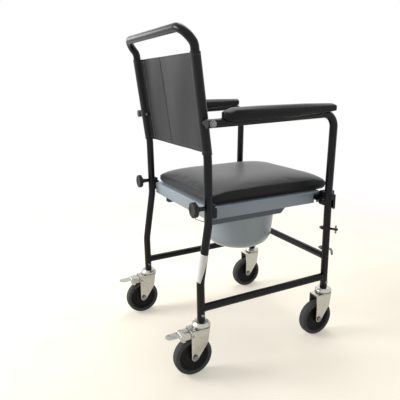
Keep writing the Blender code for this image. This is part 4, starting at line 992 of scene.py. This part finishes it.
roundedPieces = [
    ("seat_frame", "frame", "paint", "black_paint", 0.0),
    ("seat_board", "frame", "board", "board_plastic", 0.0),
]
for word in sides:
    roundedPieces += [
        ("pan_guide_" + word, "frame", "guide", "guide_plastic", 0.0007),
        ("arm_latch_" + word, "latch_" + word, "black", "black_plastic", 0.0008),
        ("arm_pivot_bolt_" + word, "frame", "steel", "zinc", 0.0004),
        ("arm_spacer_" + word, "frame", "black", "black_plastic", 0.0009),
        ("rear_clamp_" + word, "frame", "black", "black_plastic", 0.0004),
        ("front_clamp_" + word, "frame", "black", "black_plastic", 0.0008),
        ("footrest_peg_" + word, "frame", "paint", "black_paint", 0.0005),
        ("footrest_hook_" + word, "frame", "steel", "black_paint", 0.0005),
    ]
for word in corners:
    roundedPieces += [
        ("leg_bolt_" + word, "frame", "steel", "zinc", 0.0005),
        ("caster_fork_" + word, "swivel_" + word, "zinc", "zinc", 0.0008),
        ("caster_axle_" + word, "swivel_" + word, "steel", "zinc", 0.0006),
    ]
for word in ("rear_right", "rear_left"):
    roundedPieces.append(("brake_pedal_" + word, "brake_" + word, "zinc", "zinc", 0.0005))

board = {"middle": -0.05425, "half": (0.213, 0.2165), "top": 0.521, "rim": 0.0045, "edge": 0.0008}
tether = {"rear": 0.1728, "bottom": 0.4915}     # beyond these the right clamp's solid is wire
peg = {"z": tubeFrame["lugHeights"][0], "half": 0.0046, "inboard": 0.0105}


def isBoardRim(at):
    halfX, halfY = board["half"]
    return max(abs(at.x) / halfX, abs(at.y - board["middle"]) / halfY) > 0.9


def isTether(at):
    return at.y > tether["rear"] or at.z < tether["bottom"]


for node, body, finish, slotName, bevel in roundedPieces:
    piece = solidCopy(node, bevel)
    if node == "seat_board":
        roundRim(piece, board["top"], board["rim"], isBoardRim)
        roundEdges(piece, board["edge"])
    finishPiece(piece, body, finishes[finish], [node], 36)
    if node.startswith("rear_clamp"):
        giveFaces(piece, finishes["wire"], isTether)
    if node.startswith("footrest_peg"):    # nut and upright pin are bare
        side = sides[node.split("_")[-1]]
        giveFaces(piece, finishes["steel"], lambda at: abs(at.z - peg["z"]) > peg["half"]
                  or side * at.x < chair["track"] - peg["inboard"])
print("rounded pieces made:", len(roundedPieces))


# Blank label on the rear right leg: a film wound on a little askew

label = {
    "bottom": 0.300, "top": 0.387, "radius": 0.0128, "thick": 0.0004, "halfWidth": 84,
    "turnBottom": -85, "turnTop": -10, "askew": 0.0033, "bendStart": 0.2876, "bendEnd": 0.3123,
    "facing": math.atan2(0.451, -0.893),      # the way to the photograph's camera
    "slant": 1.014,                           # a leaning tube is longer where it is cut level
}


def legY(height):
    # the middle of the rear leg where it starts to lean forwards
    if height < label["bendEnd"]:
        rise = max(0.0, height - label["bendStart"])
        return chair["rearLegY"] - rise ** 2 / (2 * tubeFrame["legBend"])
    lean = (chair["rearLegY"] - chair["postY"]) / (tubeFrame["highBendZ"] - tubeFrame["lowBendZ"])
    return chair["rearLegY"] - (height - tubeFrame["lowBendZ"]) * lean


def makeLabel():
    size = label
    piece = addShape("blank_label", bpy.ops.mesh.primitive_grid_add, x_subdivisions=40,
                     y_subdivisions=30, size=2)
    for vert in piece.data.vertices:
        across, up = vert.co.x, (vert.co.y + 1) / 2
        turn = size["turnBottom"] + (size["turnTop"] - size["turnBottom"]) * up
        turn = math.radians(turn + across * size["halfWidth"])
        z = size["bottom"] + (size["top"] - size["bottom"]) * up - size["askew"] * turn
        angle = size["facing"] + turn
        vert.co = (-chair["track"] + size["radius"] * math.cos(angle),
                   legY(z) + size["slant"] * size["radius"] * math.sin(angle), z)
    turnOutwards(piece)
    first = piece.data.polygons[0]
    middle = Vector((-chair["track"], legY(first.center.z), first.center.z))
    if (first.center - middle).dot(first.normal) < 0:
        editAll(piece, bpy.ops.mesh.flip_normals)
    addModifier(piece, "SOLIDIFY", thickness=size["thick"], offset=-1.0)
    # Printed-film label, left blank: satin white, a little grubby
    material, tree, shader, where = startMaterial("whiteLabelFilm", "#F4F5F5", 0.35)
    mottleColour(tree, shader, where, ("#ECEDEC", "#FAFAFA"), 14)
    finishPiece(piece, "frame", material)


makeLabel()
print("label made")


# Floor, light and camera

studio = {
    "cream": ("#E6DECD", "#F6F0E4"), "floorGlow": 0.43, "ambient": 0.36, "wallLight": 0.60,
    "fadeStart": 0.9, "fadeEnd": 2.2,
}


def seenRays(tree):
    # what the camera sees directly, in metal, and through glass
    rays = addNode(tree, "ShaderNodeLightPath").outputs
    seen = doMath(tree, "MAXIMUM", rays["Is Camera Ray"], rays["Is Glossy Ray"])
    return doMath(tree, "MAXIMUM", seen, rays["Is Transmission Ray"])


def makeFloor():
    floor = addShape("floor", bpy.ops.mesh.primitive_plane_add, size=14,
                     location=(0, 0, -0.0003))
    # Pale studio paper, matt and faintly cloudy, which glows a little to the camera
    material, tree, shader, where = startMaterial(
        "paleStudioFloor", studio["cream"][0], 0.85, {"Specular IOR Level": 0.1})
    mixed = mixColours(tree, addNoise(tree, where, 1000 / 3, 5.0), *studio["cream"])
    seen = seenRays(tree)
    glow = doMath(tree, "MULTIPLY", seen, studio["floorGlow"])
    tree.links.new(mixed, shader.inputs["Base Color"])
    tree.links.new(mixed, shader.inputs["Emission Color"])
    tree.links.new(glow, shader.inputs["Emission Strength"])
    # beyond the object the floor fades into the white wall
    distance = addNode(tree, "ShaderNodeVectorMath", {"operation": "LENGTH"},
                       {0: where.outputs["Object"]})
    fade = mapRange(tree, distance.outputs["Value"], (studio["fadeStart"], studio["fadeEnd"]))
    bright = mapRange(tree, seen, toRange=(studio["wallLight"], 1.0))
    wall = addNode(tree, "ShaderNodeEmission", {"Color": (1, 1, 1, 1)}, {"Strength": bright})
    blend = addNode(tree, "ShaderNodeMixShader", None,
                    {0: fade, 1: shader.outputs[0], 2: wall.outputs[0]})
    tree.links.new(blend.outputs[0], tree.nodes["Material Output"].inputs["Surface"])
    floor.data.materials.append(material)


def makeWorld():
    world = bpy.data.worlds.new("studio")
    scene.world = world
    world.use_nodes = True
    tree = world.node_tree
    shade = tree.nodes["Background"]
    shade.inputs["Color"].default_value = (1, 1, 1, 1)
    strength = mapRange(tree, seenRays(tree), toRange=(studio["ambient"], 1.0))
    tree.links.new(strength, shade.inputs["Strength"])


def addLamp(name, place, target, size, power):
    lamp = bpy.data.lights.new(name, "AREA")
    lamp.shape = "SQUARE"
    lamp.size = size
    lamp.energy = power
    holder = addObject(name, lamp)
    holder.location = place
    holder.rotation_euler = (Vector(target) - Vector(place)).to_track_quat("-Z", "Y").to_euler()
    holder.visible_camera = False


view = {
    "place": (-1.3371, 0.75625, 0.8806), "azimuth": 63.2, "elevation": -14.7, "roll": -1.0,
    "lens": 40.33,
}


def makeCamera():
    angles = (view["azimuth"], view["elevation"], view["roll"])
    azimuth, elevation, roll = (math.radians(angle) for angle in angles)
    level = math.cos(elevation)
    ahead = Vector((math.sin(azimuth) * level, -math.cos(azimuth) * level, math.sin(elevation)))
    right = Vector((-math.cos(azimuth), -math.sin(azimuth), 0))
    up = right.cross(ahead)
    across = right * math.cos(roll) + up * math.sin(roll)
    above = up * math.cos(roll) - right * math.sin(roll)
    turn = Matrix((across, above, -ahead)).transposed().to_4x4()
    camera = addObject("camera", bpy.data.cameras.new("camera"))
    camera.data.lens = view["lens"]
    camera.data.sensor_width = 36
    camera.matrix_world = Matrix.Translation(view["place"]) @ turn
    scene.camera = camera


makeFloor()
makeWorld()
addLamp("keyLamp", (1.2, 2.4, 1.7), (0, 0, 0.5), size=1.2, power=50.0)
addLamp("topLamp", (0.5, -0.5, 2.6), (0, 0, 0.4), size=1.4, power=22.0)
addLamp("sideLamp", (3.0, 1.1, 1.5), (0, 0, 0.8), size=1.0, power=8.0)
addLamp("rimLamp", (2.3, -1.9, 1.9), (0, 0, 0.6), size=2.0, power=7.0)
makeCamera()
scene.view_settings.view_transform = "Standard"
print("stage made")
